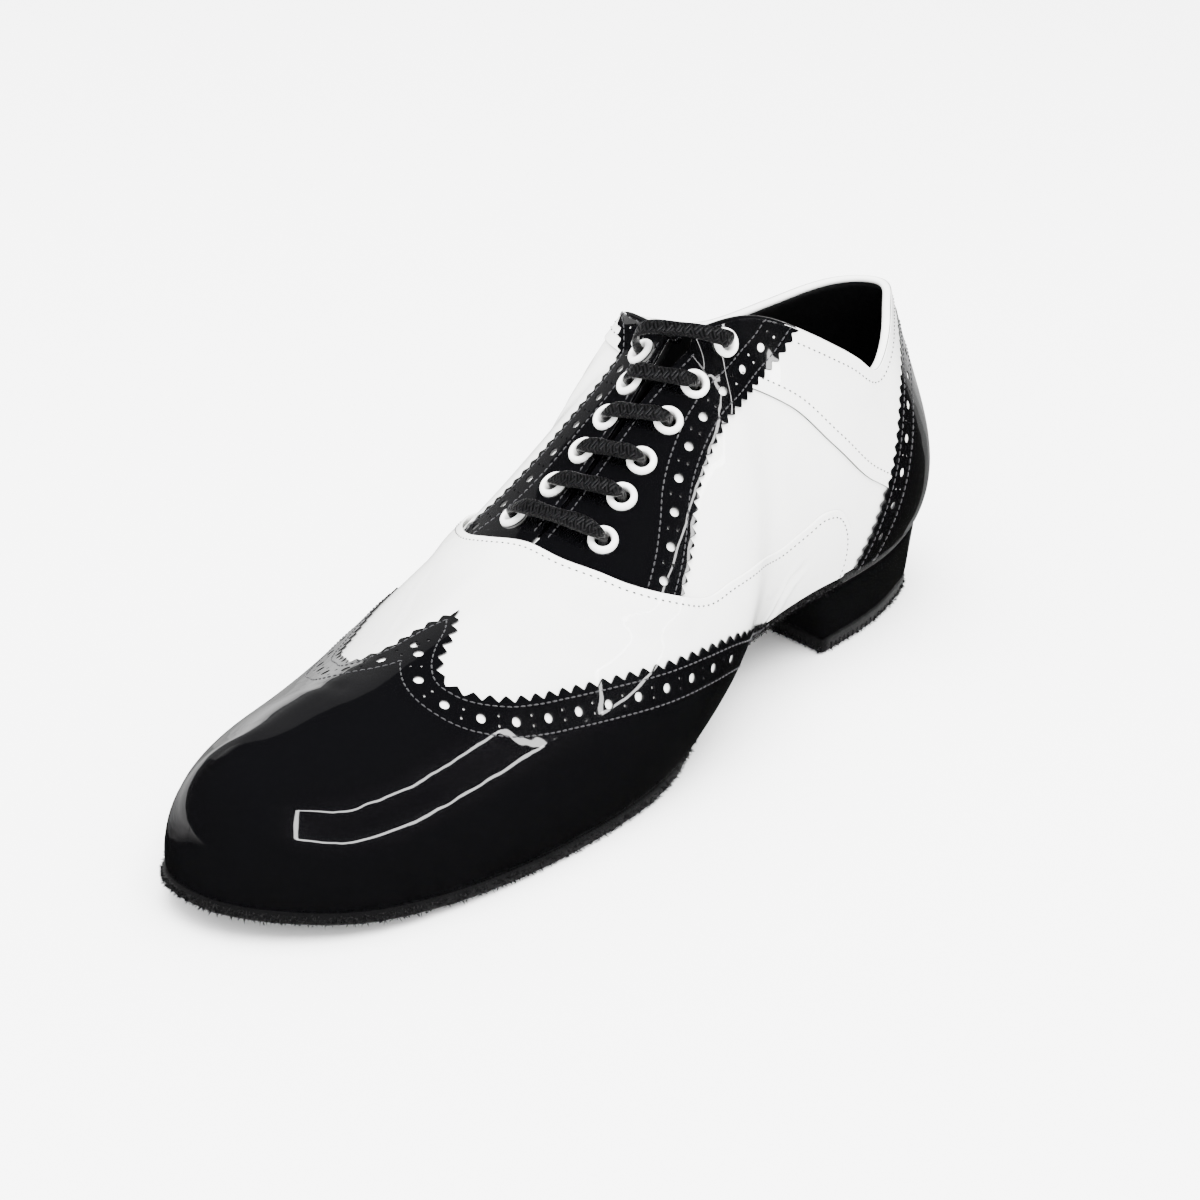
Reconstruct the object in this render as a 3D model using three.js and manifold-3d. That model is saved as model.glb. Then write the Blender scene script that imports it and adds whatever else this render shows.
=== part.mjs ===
// A right spectator shoe: a six-eyelet wing-tip oxford with a thin sole and a low heel.
// Millimetres, +Z up, toe towards -Y, the wearer's left (the inner, medial side) towards +X.
// The origin is the middle of the heel's resting face, on the floor.

import * as THREE from 'three';
import { mergeVertices } from 'three/addons/utils/BufferGeometryUtils.js';
import Module from 'manifold-3d';

const wasm = await Module();
wasm.setup();

// Driving dimensions of the last
const LAST_LENGTH = 290;
const BALL_WIDTH = 100;
const INSTEP_HEIGHT = 92;
const HEEL_HEIGHT = 22;
const TOE_SPRING = 6.5;
const HEEL_REACH = 34.5;
const CREST_SHIFT = 3;
const CREST_SHIFT_ROWS = 5;
const CREST_FADE_ROWS = 2.5;

// Walls, layers and clearances
const UPPER_WALL = 2;
const OVERLAY_THICKNESS = 0.9;
const TONGUE_THICKNESS = 2;
const SOLE_THICKNESS = 3.2;
const SOLE_LEDGE = 2;
const INSOLE_THICKNESS = 2;
const LIFT_THICKNESS = 5;
const CLEARANCE = 0.3;

// Eyelets and lace
const EYELET_OUTER_RADIUS = 4.2;
const EYELET_BORE_RADIUS = 2.35;
const EYELET_BARREL_WALL = 0.4;
const EYELET_FLANGE = 0.7;
const EYELET_SEAT = 0.55;
const EYELET_SIDES = 10;
const HOLE_SIDES = 8;
const LACE_WIDTH = 4.6;
const LACE_THICKNESS = 1.4;
const LACE_ROUND_RADIUS = 1.3;
const LACE_PASS = 3.7;
const LACE_INSIDE = 3.9;
const LACE_HIDDEN_HALF = 1.5;
const LACE_TURN = 1.5;
const LACE_OVER = 3.6;
const LACE_CORNER = 0.7;
const LACE_LINE = 3.5;

// Tongue, insole and heel
const TONGUE_HALF_WIDTH = 19;
const TONGUE_DEPTH = 5.4;
const INSOLE_INSET = 1.4;
const HEEL_TAPER = 0.05;
const HEEL_HOLLOW = 1;
const BREAST_SLANT = 7;
const HEEL_STEPS = 22;
const BREAST_STEPS = 2;

// Where the sole leaves the floor, as shares of the last's length from the heel's back
const TOE_LIFT_ALONG = 0.688;
const WAIST_LIFT_ALONG = 0.55;
const BREAST_ALONG = 0.233;
const HEEL_BREAST_ALONG = 0.226;
const LEDGE_STARTS = 0.42;
const LEDGE_FULL = 0.56;
// The tongue hangs under the facings from a seam in front of the throat
const TONGUE_ALONG = { front: 0.625, seam: 0.59, back: 0.392 };

const HALF_BALL = BALL_WIDTH / 2;

// Rows run from the toe's tip to the heel's back, on the outer (lateral) and the inner (medial) side.
// along: place of the feather line, share of LAST_LENGTH from the heel's back.
// out: half width of the feather line, share of half the ball width.
// bulge, rise: the profile's lower handle, shares of half the ball width and of the instep height.
// spread, drop: its upper handle, from the top point, in the same shares.
const sideColumns = ['along', 'out', 'bulge', 'rise', 'spread', 'drop'];
const lateralRows = [
  [1.0, 0.0, 0.04, 0.19, 0.27, 0.0],
  [0.993, 0.18, 0.04, 0.19, 0.27, 0.0],
  [0.968, 0.32, 0.05, 0.19, 0.28, 0.01],
  [0.92, 0.55, 0.05, 0.18, 0.28, 0.02],
  [0.86, 0.74, 0.06, 0.17, 0.26, 0.04],
  [0.79, 0.885, 0.06, 0.17, 0.22, 0.055],
  [0.71, 0.975, 0.08, 0.19, 0.27, 0.055],
  [0.63, 0.98, 0.13, 0.26, 0.46, 0.03],
  [0.55, 0.88, 0.18, 0.35, 0.58, 0.06],
  [0.47, 0.765, 0.21, 0.43, 0.63, 0.09],
  [0.43, 0.72, 0.22, 0.44, 0.46, 0.14],
  [0.39, 0.68, 0.2, 0.42, 0.27, 0.2],
  [0.34, 0.66, 0.16, 0.33, 0.13, 0.26],
  [0.29, 0.65, 0.15, 0.3, 0.12, 0.25],
  [0.24, 0.64, 0.14, 0.27, 0.11, 0.23],
  [0.19, 0.625, 0.14, 0.26, 0.1, 0.22],
  [0.13, 0.59, 0.15, 0.25, 0.12, 0.22],
  [0.075, 0.515, 0.16, 0.25, 0.14, 0.22],
  [0.022, 0.36, 0.15, 0.25, 0.12, 0.22],
  [0.0, 0.0, 0.15, 0.25, 0.12, 0.22],
];
const medialRows = [
  [1.0, 0.0, 0.04, 0.19, 0.27, 0.0],
  [0.993, 0.2, 0.04, 0.19, 0.27, 0.0],
  [0.968, 0.41, 0.06, 0.2, 0.3, 0.0],
  [0.92, 0.645, 0.09, 0.22, 0.36, 0.0],
  [0.86, 0.785, 0.12, 0.26, 0.42, 0.0],
  [0.79, 0.87, 0.15, 0.29, 0.44, 0.0],
  [0.71, 0.92, 0.17, 0.31, 0.45, 0.0],
  [0.63, 0.93, 0.23, 0.33, 0.44, 0.0],
  [0.55, 0.88, 0.36, 0.35, 0.4, 0.01],
  [0.47, 0.75, 0.48, 0.35, 0.32, 0.1],
  [0.43, 0.655, 0.5, 0.34, 0.24, 0.18],
  [0.39, 0.58, 0.43, 0.32, 0.17, 0.25],
  [0.34, 0.555, 0.34, 0.3, 0.14, 0.28],
  [0.29, 0.585, 0.24, 0.28, 0.12, 0.27],
  [0.24, 0.612, 0.17, 0.27, 0.11, 0.24],
  [0.19, 0.615, 0.14, 0.26, 0.1, 0.22],
  [0.13, 0.59, 0.15, 0.25, 0.12, 0.22],
  [0.075, 0.515, 0.16, 0.25, 0.14, 0.22],
  [0.022, 0.36, 0.15, 0.25, 0.12, 0.22],
  [0.0, 0.0, 0.15, 0.25, 0.12, 0.22],
];

// The top point of each row: first the crest of the forepart, then the topline of the collar.
// along, out and height are shares as above; height is measured from the sole below.
const topColumns = ['along', 'out', 'height'];
const crestRows = [
  [0.929, 0.0, 0.383],
  [0.924, 0.0, 0.386],
  [0.909, 0.0, 0.398],
  [0.878, 0.0, 0.421],
  [0.833, 0.0, 0.458],
  [0.774, 0.0, 0.492],
  [0.688, 0.0, 0.554],
  [0.591, 0.0, 0.63],
  [0.481, 0.0, 0.83],
  [0.3845, 0.0, 0.99],
];
const lateralCollarRows = [
  [0.3845, -0.06, 0.99],
  [0.371, 0.24, 0.968],
  [0.357, 0.44, 0.934],
  [0.324, 0.51, 0.848],
  [0.288, 0.5, 0.775],
  [0.25, 0.47, 0.717],
  [0.205, 0.45, 0.694],
  [0.15, 0.446, 0.688],
  [0.098, 0.43, 0.69],
  [0.048, 0.28, 0.725],
  [0.031, 0.0, 0.75],
];
const medialCollarRows = [
  [0.3845, 0.06, 0.99],
  [0.3655, 0.17, 0.999],
  [0.319, 0.23, 0.955],
  [0.2845, 0.33, 0.899],
  [0.252, 0.42, 0.829],
  [0.219, 0.49, 0.763],
  [0.188, 0.52, 0.696],
  [0.157, 0.51, 0.642],
  [0.114, 0.4, 0.697],
  [0.065, 0.2, 0.738],
  [0.031, 0.0, 0.75],
];
const CREST_END = crestRows.length - 1;
const LAST_ROW = lateralRows.length - 1;

// Grid of the last's skin
const COLUMNS_PER_ROW = 2;
const BANDS = 8;
const HALF_COLUMNS = LAST_ROW * COLUMNS_PER_ROW;
const COLUMNS = 2 * HALF_COLUMNS;

function named(columns, rows) {
  return rows.map((row) => Object.fromEntries(columns.map((name, place) => [name, row[place]])));
}

// Slopes of a smooth curve through evenly numbered values, closed on itself or with free ends
function smoothSlopes(values, closed) {
  const count = values.length;
  const slopes = new Array(count).fill(0);
  const sweeps = 40;
  for (let sweep = 0; sweep < sweeps; sweep += 1) {
    for (let row = 0; row < count; row += 1) {
      if (!closed && row === 0) {
        slopes[row] = (3 * (values[1] - values[0]) - slopes[1]) / 2;
      } else if (!closed && row === count - 1) {
        slopes[row] = (3 * (values[row] - values[row - 1]) - slopes[row - 1]) / 2;
      } else {
        const before = (row + count - 1) % count;
        const after = (row + 1) % count;
        slopes[row] = (3 * (values[after] - values[before]) - slopes[before] - slopes[after]) / 4;
      }
    }
  }
  return slopes;
}

function smoothCurve(values, closed = false) {
  const slopes = smoothSlopes(values, closed);
  const count = values.length;
  return (place) => {
    const low = closed ? Math.floor(place) : Math.min(Math.max(Math.floor(place), 0), count - 2);
    const t = place - low;
    const a = ((low % count) + count) % count;
    const b = (a + 1) % count;
    const swing = values[a] - values[b];
    return values[a] + t * (slopes[a] + t * ((-3 * swing - 2 * slopes[a] - slopes[b])
      + t * (2 * swing + slopes[a] + slopes[b])));
  };
}

function yAt(along) {
  return HEEL_REACH - LAST_LENGTH * along;
}

// Underside of the sole: flat under the ball, rising to the toe and over the waist to the heel
function soleBottom(y) {
  const along = (HEEL_REACH - y) / LAST_LENGTH;
  const toe = Math.max(0, (along - TOE_LIFT_ALONG) / (1 - TOE_LIFT_ALONG));
  const waist = (WAIST_LIFT_ALONG - along) / (WAIST_LIFT_ALONG - BREAST_ALONG);
  const climb = Math.min(1, Math.max(0, waist));
  return TOE_SPRING * toe * toe + HEEL_HEIGHT * climb * climb * (3 - 2 * climb);
}

function featherHeight(y) {
  return soleBottom(y) + SOLE_THICKNESS + CLEARANCE;
}

// Row numbers go round the shoe: toe tip 0, lateral side, heel's back LAST_ROW, medial side, tip again
const lateral = named(sideColumns, lateralRows);
const medial = named(sideColumns, medialRows);
const ringRows = [
  ...lateral.map((row) => ({ ...row, side: -1 })),
  ...medial.slice(1, -1).reverse().map((row) => ({ ...row, side: 1 })),
];
const ring = {
  x: smoothCurve(ringRows.map((row) => row.side * row.out * HALF_BALL), true),
  y: smoothCurve(ringRows.map((row) => yAt(row.along)), true),
  bulge: smoothCurve(ringRows.map((row) => row.bulge * HALF_BALL), true),
  rise: smoothCurve(ringRows.map((row) => row.rise * INSTEP_HEIGHT), true),
  spread: smoothCurve(ringRows.map((row) => row.spread * HALF_BALL), true),
  drop: smoothCurve(ringRows.map((row) => row.drop * INSTEP_HEIGHT), true),
};
const crestTable = named(topColumns, crestRows);
const lateralCollar = named(topColumns, lateralCollarRows);
const medialCollar = named(topColumns, medialCollarRows);
const collarRing = [
  ...lateralCollar.map((row) => ({ ...row, side: -1 })),
  ...medialCollar.slice(0, -1).reverse().map((row) => ({ ...row, side: 1 })),
];
const crest = {
  y: smoothCurve(crestTable.map((row) => yAt(row.along))),
  height: smoothCurve(crestTable.map((row) => row.height * INSTEP_HEIGHT)),
};
const collar = {
  x: smoothCurve(collarRing.map((row) => row.side * row.out * HALF_BALL)),
  y: smoothCurve(collarRing.map((row) => yAt(row.along))),
  height: smoothCurve(collarRing.map((row) => row.height * INSTEP_HEIGHT)),
};

// The crest leans to the inner side behind the toe
function crestX(place) {
  const t = Math.min(place / CREST_SHIFT_ROWS, 1);
  return CREST_SHIFT * t * t * (3 - 2 * t);
}

function crestPoint(place) {
  const y = crest.y(place);
  return new THREE.Vector3(crestX(place), y, featherHeight(y) + crest.height(place));
}

// Distance in rows from the toe tip, the same on both sides
function rowFromTip(place) {
  return Math.min(place, 2 * LAST_ROW - place);
}

function topPoint(place) {
  if (rowFromTip(place) <= CREST_END) {
    return crestPoint(rowFromTip(place));
  }
  const onCollar = place - CREST_END;
  const y = collar.y(onCollar);
  return new THREE.Vector3(collar.x(onCollar), y, featherHeight(y) + collar.height(onCollar));
}

function featherPoint(place) {
  const y = ring.y(place);
  return new THREE.Vector3(ring.x(place), y, featherHeight(y));
}

// Level direction square to the feather line, outwards
function outward(place) {
  const step = 0.02;
  const run = featherPoint(place + step).sub(featherPoint(place - step));
  return new THREE.Vector3(-run.y, run.x, 0).normalize();
}

// 1 on the forepart, where both sides meet smoothly along the crest, fading to 0 at the collar
function onForepart(place) {
  const left = Math.min(1, Math.max(0, (CREST_END - rowFromTip(place)) / CREST_FADE_ROWS));
  return left * left * (3 - 2 * left);
}

// The upper handle's fall on the other side of the crest
function fallAcross(place) {
  const across = 2 * LAST_ROW - place;
  return ring.drop(across) / ring.spread(across);
}

// A profile of the skin at one place: a cubic curve from the feather line to the top point
function profile(place) {
  const foot = featherPoint(place);
  const top = topPoint(place);
  const out = outward(place);
  const low = foot.clone().addScaledVector(out, ring.bulge(place));
  low.z += ring.rise(place);
  const high = top.clone().addScaledVector(out, ring.spread(place));
  const crested = onForepart(place);
  const own = ring.drop(place) / ring.spread(place);
  const fall = own + crested * ((own - fallAcross(place)) / 2 - own);
  high.z -= ring.spread(place) * fall;
  if (crested > 0) {
    const step = 0.05;
    const near = Math.max(0, rowFromTip(place) - step);
    const run = crestPoint(rowFromTip(place) + step).sub(crestPoint(near));
    high.z += out.y * ring.spread(place) * (run.z / run.y) * crested;
  }
  return new THREE.CubicBezierCurve3(foot, low, high, top);
}

function skinNormal(place, v) {
  const step = 0.02;
  const ahead = profile(place + step).getPoint(v);
  const behind = profile(place - step).getPoint(v);
  const curve = profile(place);
  const up = curve.getPoint(Math.min(1, v + step)).sub(curve.getPoint(Math.max(0, v - step)));
  return up.cross(ahead.sub(behind)).normalize();
}

// The skin as a grid: columns round the shoe, bands from the feather line to the top
const skin = [];
for (let column = 0; column < COLUMNS; column += 1) {
  const place = column / COLUMNS_PER_ROW;
  const curve = profile(place);
  const points = [];
  const normals = [];
  for (let band = 0; band <= BANDS; band += 1) {
    points.push(curve.getPoint(band / BANDS));
    normals.push(skinNormal(place, Math.min(band / BANDS, 0.98)));
  }
  skin.push({ points, normals });
}
// Both sides share the crest, so they share its direction too
for (let column = 0; column <= CREST_END * COLUMNS_PER_ROW; column += 1) {
  const other = (COLUMNS - column) % COLUMNS;
  const shared = skin[column].normals[BANDS].clone().add(skin[other].normals[BANDS]).normalize();
  skin[column].normals[BANDS] = shared;
  skin[other].normals[BANDS] = shared;
  skin[other].points[BANDS] = skin[column].points[BANDS];
}

function solidFrom(vertices, triangles) {
  const mesh = new wasm.Mesh({
    numProp: 3,
    vertProperties: new Float32Array(vertices.flatMap((point) => [point.x, point.y, point.z])),
    triVerts: new Uint32Array(triangles.flat()),
  });
  mesh.merge();
  return new wasm.Manifold(mesh);
}

// The whole last as a closed form, its skin moved out by an offset. It reaches below the feather line
// and above the topline by the given amounts.
function lastForm(offset, below = 0, above = 0) {
  const rows = [];
  for (let column = 0; column < COLUMNS; column += 1) {
    const { points, normals } = skin[column];
    const moved = points.map((point, band) => point.clone().addScaledVector(normals[band], offset));
    const foot = moved[0].clone();
    foot.z = points[0].z - below;
    if (below > 0) {
      moved.unshift(foot);
    } else {
      moved[0] = foot;
    }
    const peak = moved[moved.length - 1].clone();
    peak.z += above;
    moved.push(peak);
    rows.push(moved);
  }
  const height = rows[0].length;
  const crestEnd = CREST_END * COLUMNS_PER_ROW;
  const onCrest = (column) => Math.min(column, COLUMNS - column) < crestEnd;
  const atCrestEnd = (column) => Math.min(column, COLUMNS - column) === crestEnd;
  const vertices = [];
  const numbers = rows.map((row, column) => row.map((point, level) => {
    const mirrored = (COLUMNS - column) % COLUMNS;
    const shares = mirrored < column && (onCrest(column) || atCrestEnd(column));
    if (shares && level >= height - 2) {
      return null;
    }
    if (onCrest(column) && level === height - 1) {
      return null;
    }
    vertices.push(point);
    return vertices.length - 1;
  }));
  const at = (column, level) => {
    const own = (column + COLUMNS) % COLUMNS;
    const top = onCrest(own) ? Math.min(level, height - 2) : level;
    const found = numbers[own][top];
    return found === null ? numbers[(COLUMNS - own) % COLUMNS][top] : found;
  };
  const triangles = [];
  const add = (a, b, c) => {
    if (a !== b && b !== c && a !== c) {
      triangles.push([a, b, c]);
    }
  };
  for (let column = 0; column < COLUMNS; column += 1) {
    for (let level = 0; level < height - 1; level += 1) {
      const a = at(column, level);
      const b = at(column, level + 1);
      const c = at(column + 1, level + 1);
      const d = at(column + 1, level);
      const skipTop = level === height - 2 && (onCrest(column) || onCrest(column + 1));
      if (!skipTop) {
        add(a, b, c);
        add(a, c, d);
      }
    }
  }
  for (let column = 0; column < HALF_COLUMNS; column += 1) {
    const a = at(column, 0);
    const b = at(column + 1, 0);
    const c = at(COLUMNS - column - 1, 0);
    const d = at(COLUMNS - column, 0);
    add(a, b, c);
    add(a, c, d);
  }
  for (let column = crestEnd; column < HALF_COLUMNS; column += 1) {
    const a = at(column, height - 1);
    const b = at(column + 1, height - 1);
    const c = at(COLUMNS - column - 1, height - 1);
    const d = at(COLUMNS - column, height - 1);
    add(a, c, b);
    add(a, d, c);
  }
  return solidFrom(vertices, triangles);
}

function asMesh(name, solid, material) {
  const { vertProperties, triVerts } = solid.getMesh();
  const geometry = new THREE.BufferGeometry();
  geometry.setAttribute('position', new THREE.BufferAttribute(new Float32Array(vertProperties), 3));
  geometry.setIndex(new THREE.BufferAttribute(new Uint32Array(triVerts), 1));
  geometry.computeVertexNormals();
  const mesh = new THREE.Mesh(geometry, material);
  mesh.name = name;
  return mesh;
}

// Outlines of the overlays, seen from the side: along and height, shares as in the tables above.
// The wing cap lies below its edge, the counter behind its own, and the facings above theirs.
const edgeColumns = ['along', 'height'];
const wingTailMedial = [
  [0.757, 0.476], [0.727, 0.446], [0.696, 0.431], [0.664, 0.42], [0.6145, 0.409], [0.559, 0.404],
  [0.5, 0.378], [0.447, 0.31], [0.395, 0.19], [0.35, 0.07], [0.318, 0.0],
];
const wingTailLateral = [
  [0.772, 0.447], [0.76, 0.405], [0.739, 0.363], [0.695, 0.345], [0.636, 0.337], [0.5535, 0.326],
  [0.4914, 0.29], [0.4293, 0.212], [0.3776, 0.126], [0.34, 0.045], [0.315, 0.0],
];
const counterFront = [
  [0.0403, 0.9], [0.0403, 0.67], [0.0707, 0.64], [0.1155, 0.549], [0.1407, 0.423],
  [0.1634, 0.261], [0.179, 0.13], [0.1945, 0.01],
];
const facingEdgeMedial = [
  [0.2672, 0.861], [0.29, 0.807], [0.334, 0.778], [0.383, 0.776], [0.415, 0.745], [0.446, 0.695],
  [0.4655, 0.641], [0.487, 0.583], [0.51, 0.528], [0.526, 0.546], [0.5414, 0.566], [0.554, 0.591],
  [0.566, 0.629], [0.58, 0.647], [0.5825, 0.65],
];
const facingEdgeLateral = [
  [0.355, 0.924], [0.39, 0.855], [0.42, 0.815], [0.4455, 0.772], [0.487, 0.7],
  [0.52, 0.63], [0.548, 0.55], [0.56, 0.575], [0.572, 0.59], [0.5825, 0.605],
];
// The wing's peak, seen from above: along and out, from the inner valley over the peak to the outer valley
const peakColumns = ['along', 'out'];
const wingPeak = [
  [0.757, 0.47], [0.7593, 0.412], [0.752, 0.35], [0.738, 0.294], [0.711, 0.224], [0.6866, 0.112],
  [0.7086, 0.048], [0.7345, 0.004], [0.761, -0.042], [0.772, -0.178],
];
// Half the gap between the facings, seen from above, and the eyelets on each side of the lacing line
const gapColumns = ['along', 'half'];
const gapRows = [
  [0.571, 0.016], [0.53, 0.02], [0.48, 0.024], [0.446, 0.028], [0.419, 0.038],
  [0.395, 0.056], [0.374, 0.076], [0.34, 0.1],
];
const eyeletColumns = ['along', 'out'];
const eyeletRows = {
  medial: [
    [0.351, 0.24], [0.393, 0.244], [0.432, 0.256], [0.472, 0.276], [0.5045, 0.308], [0.542, 0.368],
  ],
  lateral: [
    [0.393, -0.12], [0.4235, -0.045], [0.4555, -0.045], [0.486, -0.06], [0.519, -0.092],
    [0.5535, -0.196],
  ],
};

// The lace in straight bars, one row for each in the order that the lace takes them, from one hidden
// end under the top eyelet to the other. After a bar it runs inside, past the next eyelet on the side
// away from the gap (1) or next to it (-1), to the eyelet of the next bar.
const barColumns = ['row', 'from', 'aside', 'arch', 'lift'];
const barRows = [
  [1, 'lateral', 1, 6.4, 3], [3, 'medial', 1, 1.8, 0], [5, 'lateral', 0, 2, 0],
  [6, 'medial', -1, 3.4, 0.6], [4, 'lateral', -1, 1.6, 0], [2, 'medial', -1, 2.2, 0.3],
];
// Cross-sections on the way out of an eyelet: sideways and outwards of its middle, half width and
// half thickness
const turnColumns = ['away', 'off', 'half', 'thick'];
const turnRows = [
  [0, 0.9, 1.3, 1.2], [0.15, 2.5, 1.3, 1.1], [1.3, 3.75, 1.8, 0.85], [3.3, 4.15, 2.3, 0.7],
];

// Reach of the cutting forms beyond the shoe
const BEYOND = 60;

// A flat outline pushed through the shoe, either down through it or across it from one side
function cutter(points, across, from, to) {
  const shape = new THREE.Shape(points.map(([a, b]) => new THREE.Vector2(a, b)));
  const geometry = new THREE.ExtrudeGeometry(shape, { depth: to - from, bevelEnabled: false });
  geometry.translate(0, 0, from);
  if (across) {
    geometry.applyMatrix4(new THREE.Matrix4().makeBasis(
      new THREE.Vector3(0, 1, 0), new THREE.Vector3(0, 0, 1), new THREE.Vector3(1, 0, 0)));
  }
  return solidOf(geometry);
}

// A closed three.js geometry as a solid, its shared corners joined
function solidOf(geometry) {
  const bare = geometry.clone();
  bare.deleteAttribute('normal');
  bare.deleteAttribute('uv');
  const joined = mergeVertices(bare, 1e-4);
  return new wasm.Manifold(new wasm.Mesh({
    numProp: 3,
    vertProperties: new Float32Array(joined.attributes.position.array),
    triVerts: new Uint32Array(joined.index.array),
  }));
}

function sidePoints(rows) {
  return named(edgeColumns, rows).map(({ along, height }) => {
    const y = yAt(along);
    return [y, featherHeight(y) + height * INSTEP_HEIGHT];
  });
}

const overlay = lastForm(CLEARANCE + OVERLAY_THICKNESS).subtract(lastForm(CLEARANCE, BEYOND, BEYOND));
const TOE_END = -LAST_LENGTH;
const HEEL_END = LAST_LENGTH / 2;
const CEILING = HEEL_HEIGHT + 2 * INSTEP_HEIGHT;

function wingCutter() {
  const peak = named(peakColumns, wingPeak).map(({ along, out }) => [out * HALF_BALL, yAt(along)]);
  const innerValley = peak[0];
  const outerValley = peak[peak.length - 1];
  const plan = [
    [BALL_WIDTH, TOE_END], [BALL_WIDTH, innerValley[1]], ...peak,
    [-BALL_WIDTH, outerValley[1]], [-BALL_WIDTH, TOE_END],
  ];
  const below = (rows) => {
    const edge = sidePoints(rows);
    return [...edge, [edge[edge.length - 1][0], -BEYOND], [edge[0][0], -BEYOND]];
  };
  return cutter(plan, false, -BEYOND, CEILING)
    .add(cutter(below(wingTailMedial), true, CREST_SHIFT, BALL_WIDTH))
    .add(cutter(below(wingTailLateral), true, -BALL_WIDTH, CREST_SHIFT));
}

function counterCutter() {
  const edge = sidePoints(counterFront);
  const bottom = edge[edge.length - 1];
  return cutter(
    [[HEEL_END, CEILING], [edge[0][0], CEILING], ...edge, [bottom[0], -BEYOND], [HEEL_END, -BEYOND]],
    true, -BALL_WIDTH, BALL_WIDTH);
}

function facingCutter(rows, side) {
  const edge = sidePoints(rows);
  const points = [[edge[0][0], CEILING], ...edge, [edge[edge.length - 1][0], CEILING]];
  const [from, to] = side > 0 ? [LACE_LINE, BALL_WIDTH] : [-BALL_WIDTH, LACE_LINE];
  return cutter(points, true, from, to);
}

// The gap between the facings
function gapCutter() {
  const edge = (side) => named(gapColumns, gapRows)
    .map(({ along, half }) => [LACE_LINE + side * half * HALF_BALL, yAt(along)]);
  return cutter([...edge(1), ...edge(-1).reverse()], false, HEEL_HEIGHT + INSTEP_HEIGHT / 4, CEILING);
}

// The skin's point above a place on the floor, and its direction there, found step by step
function skinAt(x, y) {
  const turns = 30;
  const step = 0.01;
  const lowest = 0.05;
  const highest = 0.995;
  let place = x < 0 ? CREST_END - 1 : 2 * LAST_ROW - CREST_END + 1;
  let v = 0.85;
  for (let turn = 0; turn < turns; turn += 1) {
    const here = profile(place).getPoint(v);
    const alongRow = profile(place + step).getPoint(v).sub(here).divideScalar(step);
    const upRow = profile(place).getPoint(v - step).sub(here).divideScalar(-step);
    const dx = x - here.x;
    const dy = y - here.y;
    const area = alongRow.x * upRow.y - alongRow.y * upRow.x;
    place += Math.max(-1, Math.min(1, (dx * upRow.y - dy * upRow.x) / area));
    v += Math.max(-0.1, Math.min(0.1, (dy * alongRow.x - dx * alongRow.y) / area));
    v = Math.min(highest, Math.max(lowest, v));
  }
  return { point: profile(place).getPoint(v), normal: skinNormal(place, v) };
}

const FACE_TOP = CLEARANCE + OVERLAY_THICKNESS;
// The flats of the many-sided hole, not its corners, clear the eyelet's barrel
const HOLE_INSCRIBED = EYELET_BORE_RADIUS + EYELET_BARREL_WALL + CLEARANCE;
const HOLE_RADIUS = HOLE_INSCRIBED / Math.cos(Math.PI / HOLE_SIDES);
const DRILL_LENGTH = 12;
const eyelets = Object.fromEntries(Object.entries(eyeletRows).map(([side, rows]) => (
  [side, named(eyeletColumns, rows).map(({ along, out }) => skinAt(out * HALF_BALL, yAt(along)))])));

function facing(geometry, { point, normal }) {
  const turn = new THREE.Quaternion().setFromUnitVectors(new THREE.Vector3(0, 0, 1), normal);
  return geometry.applyQuaternion(turn).translate(point.x, point.y, point.z);
}

function holeCutters() {
  return [...eyelets.medial, ...eyelets.lateral].map((seat) => {
    const drill = new THREE.CylinderGeometry(HOLE_RADIUS, HOLE_RADIUS, DRILL_LENGTH, HOLE_SIDES);
    return solidOf(facing(drill.rotateX(Math.PI / 2), seat));
  });
}

function punched(solid) {
  return holeCutters().reduce((left, drill) => left.subtract(drill), solid);
}

function eyeletGeometry() {
  const bore = EYELET_BORE_RADIUS;
  const barrel = bore + EYELET_BARREL_WALL;
  const seat = FACE_TOP + EYELET_SEAT;
  const head = seat + EYELET_FLANGE;
  const foot = -UPPER_WALL - CLEARANCE;
  const crown = EYELET_OUTER_RADIUS - EYELET_FLANGE;
  const profilePoints = [
    [bore, foot], [barrel, foot], [barrel, seat], [EYELET_OUTER_RADIUS, seat],
    [crown, head], [bore, head], [bore, foot],
  ].map(([r, z]) => new THREE.Vector2(r, z));
  return new THREE.LatheGeometry(profilePoints, EYELET_SIDES).rotateX(Math.PI / 2);
}

// A slab under the foot: its outline is the feather line moved outwards, its faces follow the sole's shape
function slab(reach, lower, upper) {
  const vertices = [];
  for (let column = 0; column < COLUMNS; column += 1) {
    const place = column / COLUMNS_PER_ROW;
    const foot = featherPoint(place).addScaledVector(outward(place), reach(place));
    const base = soleBottom(foot.y);
    vertices.push(new THREE.Vector3(foot.x, foot.y, base + lower));
    vertices.push(new THREE.Vector3(foot.x, foot.y, base + upper));
  }
  return prismFrom(vertices, COLUMNS);
}

// A solid between two rings of corners, given in pairs, lower then upper, round the shoe.
// Ring column k and column count - k lie across from each other.
function prismFrom(vertices, count) {
  const triangles = [];
  const low = (column) => 2 * (((column % count) + count) % count);
  const high = (column) => low(column) + 1;
  const add = (a, b, c) => {
    if (a !== b && b !== c && a !== c) {
      triangles.push([a, b, c]);
    }
  };
  for (let column = 0; column < count; column += 1) {
    add(low(column), high(column), high(column + 1));
    add(low(column), high(column + 1), low(column + 1));
  }
  for (let column = 0; column < Math.floor(count / 2); column += 1) {
    add(low(column), low(column + 1), low(count - column - 1));
    add(low(column), low(count - column - 1), low(count - column));
    add(high(column), high(count - column - 1), high(column + 1));
    add(high(column), high(count - column), high(count - column - 1));
  }
  return solidFrom(vertices, triangles);
}

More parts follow.
